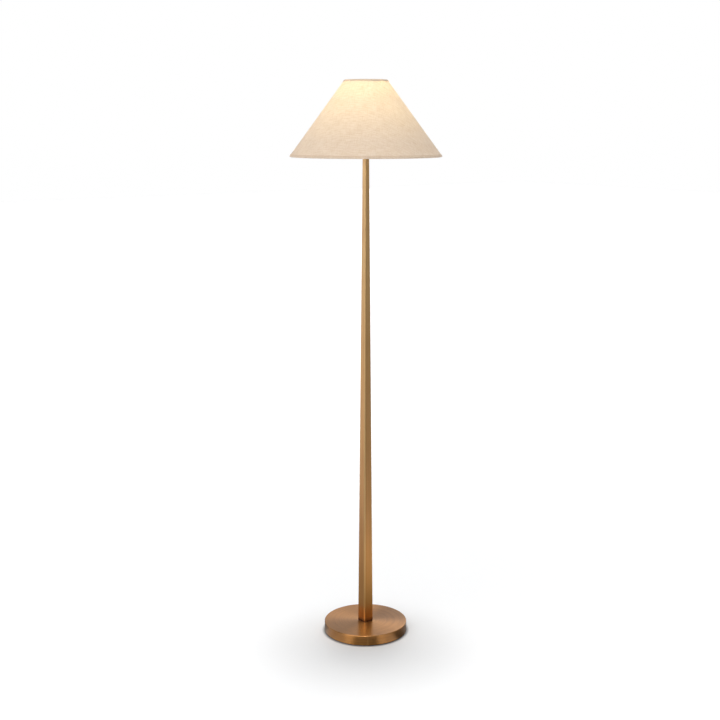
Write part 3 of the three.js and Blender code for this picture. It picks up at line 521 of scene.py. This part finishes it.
def cloth(name, light, dark, translucency, lit_light, lit_dark, painted_glow):
    """Woven linen that lets some of the light behind it through, and has a little painted glow near the
    bulb.

    light and dark are its tones from the front, and lit_light and lit_dark are those of the light that
    comes through it.
    """
    material, tree, shader = new_material(name, roughness=0.85)
    shader.inputs["Sheen Weight"].default_value = 0.15
    shader.inputs["Sheen Roughness"].default_value = 0.5
    shader.inputs["Specular IOR Level"].default_value = 0.2
    vector = flat_places(tree)
    height, slubs = weave(tree, vector)
    cloud = grain(tree, vector, 22.0, detail=3.0)
    mottle = plus(tree, times(tree, slubs, 0.75), times(tree, cloud, 0.3))
    join(tree, blended(tree, mottle, light, dark), shader.inputs["Base Color"])
    normal = bump(tree, height, WEAVE_DEPTH, 0.6)
    join(tree, normal, shader.inputs["Normal"])
    lit = blended(tree, mottle, lit_light, lit_dark)
    through = add(tree, "BsdfTranslucent", {"Color": lit, "Normal": normal})
    both = add(tree, "MixShader", {0: translucency, 1: shader.outputs[0], 2: through})
    join(tree, both, tree.nodes["Material Output"].inputs["Surface"])
    # painted glow: emission standing in for the bulb's light through the cloth, strongest near the top
    join(tree, blended(tree, mottle, PAINTED_GLOW, PAINTED_GLOW_DARK), shader.inputs["Emission Color"])
    near = spread(tree, split(tree, places(tree))[2], 0.0, 1.0, PAINTED_GLOW_FOOT, PAINTED_GLOW_HEAD)
    join(tree, times(tree, near, painted_glow), shader.inputs["Emission Strength"])
    return material


def liner_material():
    """Matt white laminate that diffuses the bulb's light."""
    material, tree, shader = new_material("shade_liner", roughness=0.6)
    fibre = grain(tree, places(tree), 420.0, detail=4.0)
    tone = blended(tree, spread(tree, fibre, 0.0, 1.0), (0.95, 0.94, 0.90), (0.92, 0.90, 0.84))
    join(tree, tone, shader.inputs["Base Color"])
    join(tree, bump(tree, fibre, 0.05 * MM), shader.inputs["Normal"])
    through = add(tree, "BsdfTranslucent", {"Color": tone})
    both = add(tree, "MixShader", {0: 0.5, 1: shader.outputs[0], 2: through})
    join(tree, both, tree.nodes["Material Output"].inputs["Surface"])
    return material


BULB_GLOW = (1.0, 0.89, 0.66)
BULB_STRENGTH = 35.0


def globe_material():
    """Opal plastic, lit evenly from inside, a little less towards its lower edge."""
    material, tree, shader = new_material("opal_globe", roughness=0.35)
    low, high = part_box("bulb_globe")
    share = spread(tree, split(tree, places(tree))[2], 0.0, 1.0, low.z, high.z)
    clouds = grain(tree, places(tree), 60.0)
    strength = times(tree, spread(tree, share, 0.75, 1.0, 0.0, 0.5),
                     spread(tree, clouds, BULB_STRENGTH * 0.97, BULB_STRENGTH * 1.03))
    join(tree, (0.95, 0.92, 0.86), shader.inputs["Base Color"])
    join(tree, BULB_GLOW, shader.inputs["Emission Color"])
    join(tree, strength, shader.inputs["Emission Strength"])
    return material


# Each finish: its slot in the part's record, and its material.
FINISHES = {
    "post": ("brushed_brass", brass("brass_post", long_lines, 0.0, 0.55, 0.4, foot=33 * MM)),
    "round": ("brushed_brass", brass("brass_turned", round_lines, 0.25, 0.88, 0.26)),
    "small": ("brushed_brass", brass("brass_small", long_lines, 0.0, 0.3, 0.3)),
    "linen": ("linen", cloth(
        "linen", light=(0.90, 0.775, 0.67), dark=(0.70, 0.56, 0.44), translucency=0.5,
        lit_light=(0.98, 0.94, 0.85), lit_dark=(0.82, 0.72, 0.55), painted_glow=0.185)),
    "trim": ("linen", cloth(
        "linen_trim", light=(0.78, 0.65, 0.52), dark=(0.60, 0.48, 0.37), translucency=0.3,
        lit_light=(0.95, 0.86, 0.70), lit_dark=(0.8, 0.64, 0.44), painted_glow=0.0)),
    "liner": ("shade_liner", liner_material()),
    "globe": ("opal_globe", globe_material()),
    "iron": ("cast_iron", cast_iron_material()),
    "earth": ("earth_pvc", earth_material()),
    "steel": ("zinc_steel", plain_metal("zinc_steel", (0.66, 0.67, 0.66), (0.52, 0.54, 0.55), 0.38)),
    "nickel": ("nickel", plain_metal("nickel", (0.74, 0.72, 0.67), (0.64, 0.61, 0.55), 0.2)),
    "wire": ("white_wire", moulded(
        "white_wire", (0.88, 0.86, 0.82), (0.82, 0.80, 0.75), 0.38, 500.0, 0.04 * MM)),
    "foam": ("foam_pad", moulded(
        "foam_pad", (0.025, 0.025, 0.027), (0.045, 0.045, 0.045), 0.9, 1200.0, 0.3 * MM)),
    "black": ("black_plastic", moulded(
        "black_plastic", (0.03, 0.03, 0.032), (0.045, 0.044, 0.043), 0.42, 900.0, 0.05 * MM)),
    "white": ("white_plastic", moulded("white_plastic", (0.88, 0.87, 0.84), (0.84, 0.82, 0.78), 0.4)),
    "flex": ("flex_pvc", moulded("flex_pvc", (0.78, 0.75, 0.68), (0.72, 0.69, 0.61), 0.45)),
    "porcelain": ("porcelain", moulded(
        "porcelain", (0.90, 0.88, 0.83), (0.86, 0.83, 0.76), 0.18, 250.0, 0.02 * MM)),
}


# ------------------------ base


def build_base():
    low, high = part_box("base_pad")
    pad = rounded([(0, low.z), (high.x, low.z), (high.x, high.z), (0, high.z)], 0.8 * MM)
    foam = add_piece("base_pad_foam", turned(pad, 128), "foam", "stand", "base_pad")

    low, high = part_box("base_cover")
    wall, edge, stud_hole, bush_hole = 1.5 * MM, 2.0 * MM, 8.3 * MM, 6.5 * MM
    inner = high.x - wall
    top_edge = arc((high.x - edge, high.z - edge), edge, 0, 90, 8)
    under = [(stud_hole, high.z - wall), (inner, high.z - wall), (inner, low.z), (high.x, low.z)]
    shell = rounded(under, 0.3 * MM) + top_edge + [(high.x / 2, high.z), (stud_hole, high.z)]
    bush_low, bush_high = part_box("cord_inlet_bush")
    inlet_height = (bush_low.z + bush_high.z) / 2
    drill = turned(pin(bush_hole, high.x - 10 * MM, high.x + 10 * MM), 48)
    add_piece("base_cover_spun", turned(shell, 224), "round", "stand", "base_cover",
              cut=along_y(drill, 1, inlet_height))

    bore, body, flange = 4.0 * MM, 6.2 * MM, 8.5 * MM
    back_flange, flange_thickness = flange - MM, 2.0 * MM
    inside, outside = bush_low.y, bush_high.y
    bush = [(bore, inside), (back_flange, inside), (back_flange, inside + flange_thickness),
            (body, inside + flange_thickness), (body, outside - flange_thickness),
            (flange, outside - flange_thickness), (flange, outside), (bore, outside)]
    bush = along_y(turned(rounded(bush, 0.5 * MM), 64), 1, inlet_height)
    add_piece("cord_inlet_bush_moulded", bush, "black", "stand", "cord_inlet_bush")


# ------------------------ post

POST_CORNER_RATIO = 0.12  # of the post's side
POST_BORE_RATIO = 0.86
POST_LOW, POST_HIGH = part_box("post_tube")
PLUG_LOW, PLUG_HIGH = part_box("post_top_plug")
NIPPLE_WAY = 5.3 * MM  # radius of the holes that the threaded neck nipple passes


def post_side(height):
    """The post's width at a height, on the straight taper from its foot to its top plug."""
    foot, top = 2 * POST_HIGH.x, 2 * PLUG_HIGH.x
    head_bottom = POST_HIGH.z + GAP
    return foot + (top - foot) / (head_bottom - POST_LOW.z) * (height - POST_LOW.z)


def post_ring(height, ratio=1.0, inset=0.0):
    side = post_side(height) * ratio - 2 * inset
    return square_ring(side, side * POST_CORNER_RATIO, height)


def build_post():
    low, high, ease = POST_LOW.z, POST_HIGH.z, 0.25 * MM
    rings = [
        post_ring(low, inset=ease),
        post_ring(low + ease),
        post_ring(high - ease),
        post_ring(high, inset=ease),
        post_ring(high, POST_BORE_RATIO),
        post_ring(low, POST_BORE_RATIO),
    ]
    add_piece("post_tube_drawn", lofted(rings), "post", "stand", "post_tube")

    spigot_bottom, head_bottom, head_top = PLUG_LOW.z, high + GAP, PLUG_HIGH.z
    spigot_side, spigot_corner = post_side(high) * POST_BORE_RATIO - 2 * GAP, 1.5 * MM
    lead_way, nipple_bottom = 3.5 * MM, head_bottom + 1.7 * MM
    outer = post_ring(head_top)
    rings = [
        square_ring(spigot_side, spigot_corner, spigot_bottom),
        square_ring(spigot_side, spigot_corner, head_bottom),
        post_ring(head_bottom, inset=ease),
        post_ring(head_bottom + ease),
        post_ring(head_top - ease),
        post_ring(head_top, inset=ease),
        ring_like(outer, NIPPLE_WAY, head_top),
        ring_like(outer, NIPPLE_WAY, nipple_bottom),
        ring_like(outer, lead_way, nipple_bottom),
        ring_like(outer, lead_way, spigot_bottom),
    ]
    add_piece("post_top_plug_head", lofted(rings), "post", "stand", "post_top_plug")

    low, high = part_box("neck_collar")
    waist, foot, lip = 6.2 * MM, 6.9 * MM, high.x
    collar = rounded([(NIPPLE_WAY, low.z), (foot, low.z), (foot, low.z + 2.2 * MM),
                      (waist, low.z + 3.0 * MM), (waist, high.z - 3.2 * MM),
                      (lip, high.z - 1.5 * MM), (lip, high.z), (NIPPLE_WAY, high.z)], 0.5 * MM)
    add_piece("neck_collar_turned", turned(collar, 64), "round", "stand", "neck_collar")
    low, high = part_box("neck_locknut")
    nut = hex_nut(high.y, NIPPLE_WAY, low.z, high.z)
    add_piece("neck_locknut_hex", nut, "small", "stand", "neck_locknut")


def hex_nut(half_flats, bore, bottom, top, sides=72):
    """A six-sided nut with its corners turned off at both ends, like a real one."""
    chamfer, face = 0.7 * MM, half_flats * 0.99
    corner = half_flats / math.cos(TAU / 12)
    angles = [TAU * i / sides for i in range(sides)]

    def ring(limit, height):
        radii = [min(half_flats / math.cos(angle % (TAU / 6) - TAU / 12), limit) for angle in angles]
        return [polar(radius, angle, height) for radius, angle in zip(radii, angles)]

    return lofted([
        ring(face, bottom),
        ring(corner, bottom + chamfer),
        ring(corner, top - chamfer),
        ring(face, top),
        ring(bore, top),
        ring(bore, bottom),
    ])


# ------------------------ lampholder and switch

AT_CREST = 0.05 * MM  # a point this near the outer radius is on it


def helical(depth, pitch, bottom, top, crest):
    """A swell that turns a plain cylinder's rows between two heights into a rounded screw thread."""

    def swell(radius, height, angle):
        if abs(radius - crest) > AT_CREST or not bottom < height < top:
            return radius
        ends = min(1.0, (height - bottom) / pitch, (top - height) / pitch)
        wave = 0.5 - 0.5 * math.cos(TAU * (height / pitch - angle / TAU))
        return radius - depth * ends * wave

    return swell


def rows(radius, bottom, top, count=60):
    return [(radius, bottom + (top - bottom) * i / count) for i in range(count + 1)]


def knurled(outer, depth, ridges):
    """A swell that presses grip ridges into the points on the outer radius."""

    def swell(radius, height, angle):
        if radius < outer - AT_CREST:
            return radius
        return radius - depth * (0.5 - 0.5 * math.cos(ridges * angle))

    return swell


SHADE_RING_RADIUS = 26.0 * MM


def shade_ring(flange_face, upwards):
    """The outline of a threaded ring whose wide grip edge faces the shade's carrier."""
    bore, outer, middle, height = 20.1 * MM, SHADE_RING_RADIUS, 22.5 * MM, 6.0 * MM
    sign = 1 if upwards else -1
    outline = [(bore, 0), (outer - 0.5 * MM, 0), (outer, 0.6 * MM), (outer, 2.5 * MM),
               (middle, 3.3 * MM), (middle, height), (bore, height)]
    outline = [(r, flange_face + sign * z) for r, z in outline]
    return rounded(outline if upwards else outline[::-1], 0.35 * MM)


def build_holder():
    switch_low, switch_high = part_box("switch_spindle")
    switch_height = (switch_low.z + switch_high.z) / 2
    build_holder_shells(switch_height)

    for node, body, upwards in (("shade_seat_ring", "seat_ring", False),
                                ("shade_clamp_ring", "clamp_ring", True)):
        low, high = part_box(node)
        outline = shade_ring(low.z if upwards else high.z, upwards)
        grip = knurled(SHADE_RING_RADIUS, 0.35 * MM, 48)
        add_piece(node + "_knurled", turned(outline, 288, grip), "round", body, node)

    spindle = rounded(pin(2.5 * MM, -switch_high.y, -switch_low.y), 0.4 * MM)
    spindle = along_y(turned(spindle, 40), -1, switch_height)
    add_piece("switch_spindle_pin", spindle, "nickel", "switch", "switch_spindle")

    low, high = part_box("switch_knob")
    near, far, grip, bore = -high.y, -low.y, high.x, 2.8 * MM
    socket_end = far - 3.5 * MM
    knob = [(0, socket_end), (bore, socket_end), (bore, near), (grip - 0.6 * MM, near),
            (grip, near + 0.8 * MM), (grip, far - 2 * MM), (grip - 0.4 * MM, far - MM),
            (grip - 1.4 * MM, far), (0, far - 0.3 * MM)]
    knob = turned(rounded(knob, 0.5 * MM), 144, knurled(grip, 0.3 * MM, 24))
    add_piece("switch_knob_fluted", along_y(knob, -1, switch_height), "small", "switch", "switch_knob")


def build_holder_shells(switch_height):
    """The lampholder's spun cap, with a hole for the switch's spindle, and its threaded skirt."""
    low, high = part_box("holder_cap")
    radius, wall = high.x, 1.0 * MM
    dome = [(10, 0), (15, 2.2), (18.6, 6), (20, 11)]
    inner_dome = [(17.6, 6.7), (14.5, 3.3), (9.8, 1.2)]
    cup = [(NIPPLE_WAY, low.z)] + [(r * MM, low.z + z * MM) for r, z in dome]
    cup += [(radius, high.z), (radius - wall, high.z), (radius - wall, low.z + 11.3 * MM)]
    cup += [(r * MM, low.z + z * MM) for r, z in inner_dome] + [(NIPPLE_WAY, low.z + 1.2 * MM)]
    drill = turned(pin(3.2 * MM, 15 * MM, 25 * MM), 32)
    add_piece("holder_cap_spun", turned(rounded(cup, 1.6 * MM, 5)), "round", "stand", "holder_cap",
              cut=along_y(drill, -1, switch_height))

    low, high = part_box("holder_skirt")
    radius, crest, end = 20 * MM, 19.8 * MM, 19.1 * MM
    neck, inside, lip = 18.6 * MM, 17.8 * MM, 15.6 * MM
    thread_low, thread_high = low.z + 11 * MM, high.z - 2 * MM
    step, lip_bottom = low.z + 7.3 * MM, high.z - 3.0 * MM
    skirt = [(inside, low.z), (neck, low.z), (neck, step), (radius, step),
             (radius, thread_low - 1.0 * MM), (crest, thread_low - 0.8 * MM)]
    skirt += rows(crest, thread_low, thread_high)
    skirt += [(crest, high.z - 0.8 * MM), (end, high.z), (lip, high.z), (lip, lip_bottom),
              (inside, lip_bottom)]
    thread = helical(0.7 * MM, 6.0 * MM, thread_low, thread_high, crest)
    add_piece("holder_skirt_threaded", turned(skirt, swell=thread), "round", "stand", "holder_skirt")


# ------------------------ bulb


def build_bulb():
    low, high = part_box("bulb_globe")
    radius, wall = 30 * MM, 1.2 * MM
    centre, inner = high.z - radius, radius - wall
    edge = math.degrees(math.asin((low.z - centre) / radius))
    inner_edge = math.degrees(math.asin((low.z - centre) / inner))
    globe = arc((0, centre), radius, edge, 90, 28)[:-1] + [(0, centre + radius)]
    globe += [(0, centre + inner)] + arc((0, centre), inner, 90, inner_edge, 28)[1:]
    add_piece("bulb_globe_opal", turned(globe), "globe", "bulb", "bulb_globe")

    low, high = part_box("bulb_housing")
    joint = math.sqrt(radius**2 - (high.z - centre) ** 2)
    foot, wall, spigot, bore = low.z + 7.8 * MM, 1.5 * MM, 11.2 * MM, 9.8 * MM
    flare = [(13.4, 0), (13.8, 6.2), (17, 16.2), (22.5, 28.2), (26.6, 36.2)]
    outside = [(r * MM, foot + z * MM) for r, z in flare] + [(joint, high.z)]
    inside = [(r - wall, z) for r, z in outside[1:]][::-1]
    housing = [(bore, low.z), (spigot, low.z), (spigot, foot)] + outside
    housing += inside + [(bore, foot + 1.7 * MM)]
    housing = turned(rounded(housing, 4 * MM, 6))
    add_piece("bulb_housing_moulded", housing, "white", "bulb", "bulb_housing")

    low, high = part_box("bulb_cap")
    crest, inner, lip = 13.2 * MM, 11.6 * MM, 9.6 * MM
    thread_low, thread_high = low.z + 1.2 * MM, high.z - 2.5 * MM
    cap = [(lip, low.z), (11 * MM, low.z), (12.4 * MM, thread_low - 0.4 * MM)]
    cap += rows(crest, thread_low, thread_high)
    cap += [(crest, high.z), (inner, high.z), (inner, low.z + 1.4 * MM), (lip, low.z + 0.8 * MM)]
    thread = helical(0.85 * MM, 3.6 * MM, thread_low, thread_high, crest)
    add_piece("bulb_cap_rolled", turned(cap, swell=thread), "nickel", "bulb", "bulb_cap")


# ------------------------ shade

CLOTH_THICKNESS = 0.35 * MM
LINER_THICKNESS = 0.4 * MM
LAP_WIDTH = 9 * MM  # how far the cloth's ends overlap at the back
LAP_RISE = CLOTH_THICKNESS + 0.06 * MM
RIPPLE = 0.05 * MM
SPOKES = 3


def on_slant(distance, outwards):
    """A point of the cone's section: distance down from the top wire, and distance outwards."""
    point = TOP_WIRE + DOWN * distance + OUT * outwards
    return point.x, point.y


def lapped_sheet(start, end, offset, thickness, lap, columns=288, levels=24):
    """A thin closed sheet rolled into the cone, its ends lapped and glued at the back.

    A lap below zero leaves the ends that far apart.
    """
    turn_start = math.pi / 2  # the seam is at +Y

    def point(share, level, outer):
        distance = start + (end - start) * level / levels
        middle_radius = on_slant(distance, offset)[0]
        sweep = TAU + lap / middle_radius
        angle = turn_start + sweep * share
        rise = 0.0
        if lap > 0:
            past = (sweep * share - TAU) * middle_radius / lap
            ease = min(max((past + 1.5) / 1.2, 0.0), 1.0)
            rise = LAP_RISE * ease * ease * (3 - 2 * ease)
        where = polar(3, angle, distance * 9)
        lift = offset + rise + RIPPLE * noise.noise(where) + (thickness if outer else 0.0)
        radius, height = on_slant(distance, lift)
        return polar(radius, angle, height)

    width = levels + 1
    vertices = [point(i / columns, level, outer)
                for outer in (True, False) for i in range(columns + 1) for level in range(width)]
    skip = (columns + 1) * width  # from a point of the outer side to the same one of the inner side

    faces = []
    for i in range(columns):
        here, on = i * width, (i + 1) * width
        for level in range(levels):
            a, b, c, d = here + level, here + level + 1, on + level + 1, on + level
            faces.append((a, b, c, d))
            faces.append((d + skip, c + skip, b + skip, a + skip))
        faces.append((here, on, on + skip, here + skip))
        faces.append((on + levels, here + levels, here + levels + skip, on + levels + skip))
    last = columns * width
    for level in range(levels):
        faces.append((level + 1, level, level + skip, level + 1 + skip))
        a, b = last + level, last + level + 1
        faces.append((a, b, b + skip, a + skip))
    return vertices, faces


def rolled_edge(wire, sign):
    """Binding tape rolled round a wire ring, its two legs lapping over the cloth and the liner.

    sign is 1 where the sheets lie down the slant from the wire, and -1 where they lie up it.
    """
    wall, outer_leg, inner_leg = 0.35 * MM, 5.5 * MM, 4.5 * MM
    start = math.degrees(math.atan2(OUT.y, OUT.x))
    # The tape's outer face past the roll: distance along the slant, and outwards.
    over_cloth = [(outer_leg, 2.60 * MM), (2 * MM, 2.58 * MM), (0.8 * MM, 2.42 * MM)]
    over_liner = [(1 * MM, -2.32 * MM), (inner_leg, -2.3 * MM)]

    def at(down, out):
        return tuple(wire + DOWN * (sign * down) + OUT * out)

    def roll(radius):
        return arc(tuple(wire), radius, start, start + sign * 180, 16)

    outline = [at(down, out) for down, out in over_cloth] + roll(TRIM_RADIUS)
    outline += [at(down, out) for down, out in over_liner]
    outline += [at(down, out + wall) for down, out in over_liner[::-1]]
    outline += roll(TRIM_RADIUS - wall)[::-1]
    outline += [at(down, out - wall) for down, out in over_cloth[::-1]]

    def uneven(radius, height, angle):
        return radius - 0.06 * MM * (1 + noise.noise(polar(18, angle, 0)))

    return turned(outline if sign > 0 else outline[::-1], 360, uneven)


def spoke(angle):
    """One bent arm from the carrier ring up to the top wire, a little thicker at its welds."""
    carrier_low, carrier_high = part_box("shade_carrier_ring")
    carrier = (carrier_low.z + carrier_high.z) / 2
    bar, weld, swelling = 1.5 * MM, 6 * MM, 0.1
    foot = carrier_high.x + GAP + bar
    head = TOP_WIRE.x - TRIM_RADIUS - GAP - bar
    route = [(head, TOP_WIRE.y), (foot + 3.2 * MM, carrier + 9 * MM), (foot, carrier)]
    points = [polar(radius, angle, height) for radius, height in route]

    def radius_at(distance):
        return bar * (1 + swelling * max(0.0, 1 - distance / weld))

    return tube(bent(points, 5 * MM), radius_at)


def build_shade():
    cover_offset, liner_offset = WIRE_RADIUS - 0.2 * MM, WIRE_RADIUS - 0.9 * MM
    start = TRIM_RADIUS + GAP
    end = SLANT_LENGTH - start
    sheet = lapped_sheet(start, end, cover_offset, CLOTH_THICKNESS, LAP_WIDTH)
    cover = add_piece("shade_cover_cloth", sheet, "linen", "shade", "shade_cover")
    sheet = lapped_sheet(start + 2 * MM, end - 3 * MM, liner_offset, LINER_THICKNESS, -GAP)
    add_piece("shade_liner_sheet", sheet, "liner", "shade", "shade_liner")
    for node, wire, sign in (("shade_top_trim", TOP_WIRE, 1), ("shade_bottom_trim", BOTTOM_WIRE, -1)):
        add_piece(node + "_rolled", rolled_edge(wire, sign), "trim", "shade", node)
    for node, wire in (("shade_top_ring", TOP_WIRE), ("shade_bottom_ring", BOTTOM_WIRE)):
        ring = turned(arc(tuple(wire), WIRE_RADIUS, 0, 360, 16)[:-1], 240)
        add_piece(node + "_wire", ring, "wire", "shade", node)
    low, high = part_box("shade_carrier_ring")
    bore = 20.4 * MM
    carrier = rounded([(bore, low.z), (high.x, low.z), (high.x, high.z), (bore, high.z)], 0.5 * MM)
    add_piece("shade_carrier_ring_stamped", turned(carrier), "wire", "shade", "shade_carrier_ring")
    for i in range(SPOKES):
        node = f"shade_spoke_{i + 1}"
        add_piece(node + "_bent", spoke(math.pi / 2 + TAU * i / SPOKES), "wire", "shade", node)


# ------------------------ CAD nodes that stay

KEPT = {
    "iron": ["base_weight"],
    "steel": ["pocket_plate", "pocket_plate_screw_1", "pocket_plate_screw_2", "pocket_plate_screw_3",
              "fixing_washer", "fixing_nut", "terminal_screw_1", "terminal_screw_2", "terminal_screw_3",
              "earth_screw", "foot_stud", "foot_plug", "neck_nipple", "bulb_led_board"],
    "nickel": ["earth_tag", "holder_screw_shell", "holder_centre_contact", "holder_live_screw",
               "holder_neutral_screw", "bulb_contact"],
    "white": ["terminal_block"],
    "black": ["switch_body", "bulb_insulator"],
    "flex": ["inner_lead", "holder_live_core", "holder_neutral_core"],
    "earth": ["earth_lead"],
    "porcelain": ["holder_insert"],
}


def dress_kept_nodes():
    for finish, names in KEPT.items():
        for name in names:
            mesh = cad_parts[name].data
            mesh.materials.clear()
            mesh.materials.append(FINISHES[finish][1])


# ------------------------ camera, floor and light

CAMERA_AZIMUTH = math.radians(53.0)
CAMERA_DISTANCE = 3.552
CAMERA_HEIGHT = 1.5345
CAMERA_DOWN = math.radians(11.0)
CAMERA_TURN = math.radians(0.27)
CAMERA_LENS, CAMERA_SENSOR = 61.4, 36.0  # in mm
CAMERA_SEES = 60.0


def place_camera():
    data = bpy.data.cameras.new("camera")
    data.lens, data.sensor_width, data.clip_end = CAMERA_LENS, CAMERA_SENSOR, CAMERA_SEES
    camera = bpy.data.objects.new("camera", data)
    bpy.context.scene.collection.objects.link(camera)
    east, north = math.sin(CAMERA_AZIMUTH), -math.cos(CAMERA_AZIMUTH)
    camera.location = (CAMERA_DISTANCE * east, CAMERA_DISTANCE * north, CAMERA_HEIGHT)
    camera.rotation_euler = (math.pi / 2 - CAMERA_DOWN, 0, CAMERA_AZIMUTH + CAMERA_TURN)
    bpy.context.scene.camera = camera


FLOOR_SIZE = 20.0  # half its side
FLOOR_TONE = (0.795, 0.80, 0.806)
FLOOR_CONTACT_SHADOW = (0.28, 0.28, 0.28)
CONTACT_SHADOW_FROM, CONTACT_SHADOW_END = 0.125, 0.134  # the painted contact shadow where the base meets the floor
FLOOR_LIFT = 0.055  # the floor's own light, which keeps it white
FAR_LIFT = 0.3
MIRROR_TINT = (1.0, 0.98, 0.95)
# The painted brightness of the mirrored floor, outwards or to the left: the change, and where it starts
# and ends. It is darkest by the lamp, a painted shadow, and it gives the post's foot a painted
# reflection: a light right face and a darker left one.
FLOOR_NEAREST = 0.07
FLOOR_BANDS = (
    ("away", 0.55, 0.15, 0.6),
    ("away", -0.24, 0.8, 2.0),
    ("left", 0.42, 0.05, 3.0),
    ("away", 0.08, 0.19, 0.27),
    ("away", -0.08, 0.8, 1.2),
    ("left", -0.30, 0.28, 0.48),
    ("left", 0.36, 0.90, 1.45),
)
# Painted pools of light in it that the base mirrors: degrees right, half width, soft edge, brightness.
FLOOR_POOLS = (
    (-38, 5, 16, 0.45),
    (-68, 6, 16, 0.32),
    (38, 5, 17, 0.50),
    (-98, 6, 20, 0.10),
    (96, 5, 20, 0.10),
)
POOLS_FROM, POOLS_END = 0.17, 0.27
LEFTWARD = -100  # the bearing that "left" means above, in degrees to the camera's right

# Soft lights round the lamp: degrees right, degrees up, half width, soft edge, brightness.
STUDIO_LIGHTS = (
    (-122, -2, 9, 13, 0.7),
    (-106, -2, 9, 13, 0.6),
    (-90, -2, 9, 13, 0.5),
    (74, -2, 9, 13, 0.22),
    (-44, 3, 7, 12, 2.6),
    (43, 3, 6, 10, 2.6),
    (161, 32, 5, 15, 1.3),
    (180, 24, 24, 36, 0.21),
    (-20, 52, 16, 30, 1.75),
    (0, 90, 20, 45, 0.10),
    (0, 0, 10, 25, -0.10),  # the shade where the camera stands
)
AMBIENT = 0.15
SUN_WIDTH, SUN_STRENGTH = math.radians(13), 1.46


def sky_direction(right_deg, up_deg):
    """A direction from the lamp, in degrees to the camera's right and up; (0, 0) is to the camera."""
    turn, rise = CAMERA_AZIMUTH + math.radians(right_deg), math.radians(up_deg)
    return math.sin(turn) * math.cos(rise), -math.cos(turn) * math.cos(rise), math.sin(rise)


def build_floor():
    """A pale floor with a painted contact shadow round the base. What shines sees a painted studio
    floor:
    darker by the lamp, a painted shadow, and brighter on the left.
    """
    size = FLOOR_SIZE
    corners = [Vector((x * size, y * size, 0)) for x, y in ((-1, -1), (1, -1), (1, 1), (-1, 1))]
    material, tree, shader = new_material("floor", roughness=0.8)
    shader.inputs["Specular IOR Level"].default_value = 0.1
    place = places(tree)
    away = length(tree, place)
    # painted contact shadow round the base, in the floor's tone and its own light
    clear = spread(tree, away, 0.0, 1.0, CONTACT_SHADOW_FROM, CONTACT_SHADOW_END)
    join(tree, blended(tree, clear, FLOOR_CONTACT_SHADOW, FLOOR_TONE), shader.inputs["Base Color"])
    join(tree, (1.0, 1.0, 1.0), shader.inputs["Emission Color"])
    lift = times(tree, clear, FLOOR_LIFT)
    lift = plus(tree, lift, spread(tree, away, 0.0, FAR_LIFT, 0.8, 3.0))
    join(tree, lift, shader.inputs["Emission Strength"])

    left = along(tree, place, sky_direction(LEFTWARD, 0))
    level = FLOOR_NEAREST
    for across, change, near, far in FLOOR_BANDS:
        band = spread(tree, left if across == "left" else away, 0.0, change, near, far)
        level = plus(tree, band, level)
    bearing = add(tree, "VectorMath", {0: place}, operation="NORMALIZE")
    beside = spread(tree, away, 1.0, 0.0, POOLS_FROM, POOLS_END)
    for right, half_width, edge, brightness in FLOOR_POOLS:
        pool = lobe(tree, bearing, sky_direction(right, 0), half_width, edge, brightness)
        level = plus(tree, level, times(tree, pool, beside))
    mirrored = add(tree, "Emission", {0: MIRROR_TINT, 1: level})
    glossy = add(tree, "LightPath", output="Is Glossy Ray")
    both = add(tree, "MixShader", {0: glossy, 1: shader.outputs[0], 2: mirrored})
    join(tree, both, tree.nodes["Material Output"].inputs["Surface"])
    floor = mesh_object("floor", (corners, [(0, 1, 2, 3)]), material)


def light_world():
    """White behind the lamp, and a studio with a few soft lights for what the lamp reflects."""
    world = bpy.data.worlds.new("studio")
    bpy.context.scene.world = world
    world.use_nodes = True
    tree = world.node_tree
    tree.nodes.clear()
    direction = add(tree, "TexCoord", output="Generated")
    level = AMBIENT
    for right, up, half_width, edge, brightness in STUDIO_LIGHTS:
        light = lobe(tree, direction, sky_direction(right, up), half_width, edge, brightness)
        level = plus(tree, light, level)
    seen = add(tree, "LightPath", output="Is Camera Ray")
    soft = add(tree, "Background", {0: (1.0, 1.0, 1.0), 1: level})
    white = add(tree, "Background", {0: (1.0, 1.0, 1.0), 1: 1.0})
    mixed = add(tree, "MixShader", {0: seen, 1: soft, 2: white})
    out = tree.nodes.new("ShaderNodeOutputWorld")
    join(tree, mixed, out.inputs["Surface"])


def light_scene():
    light_world()
    data = bpy.data.lights.new("overhead", "SUN")
    data.angle, data.energy, data.color = SUN_WIDTH, SUN_STRENGTH, (1.0, 1.0, 1.0)
    light = bpy.data.objects.new("overhead", data)
    light.rotation_euler = Vector(sky_direction(180, 85)).to_track_quat("Z", "Y").to_euler()
    bpy.context.scene.collection.objects.link(light)
    bpy.context.scene.view_settings.view_transform = "Standard"


place_camera()
build_floor()
light_scene()
build_base()
build_post()
build_holder()
build_bulb()
build_shade()
dress_kept_nodes()
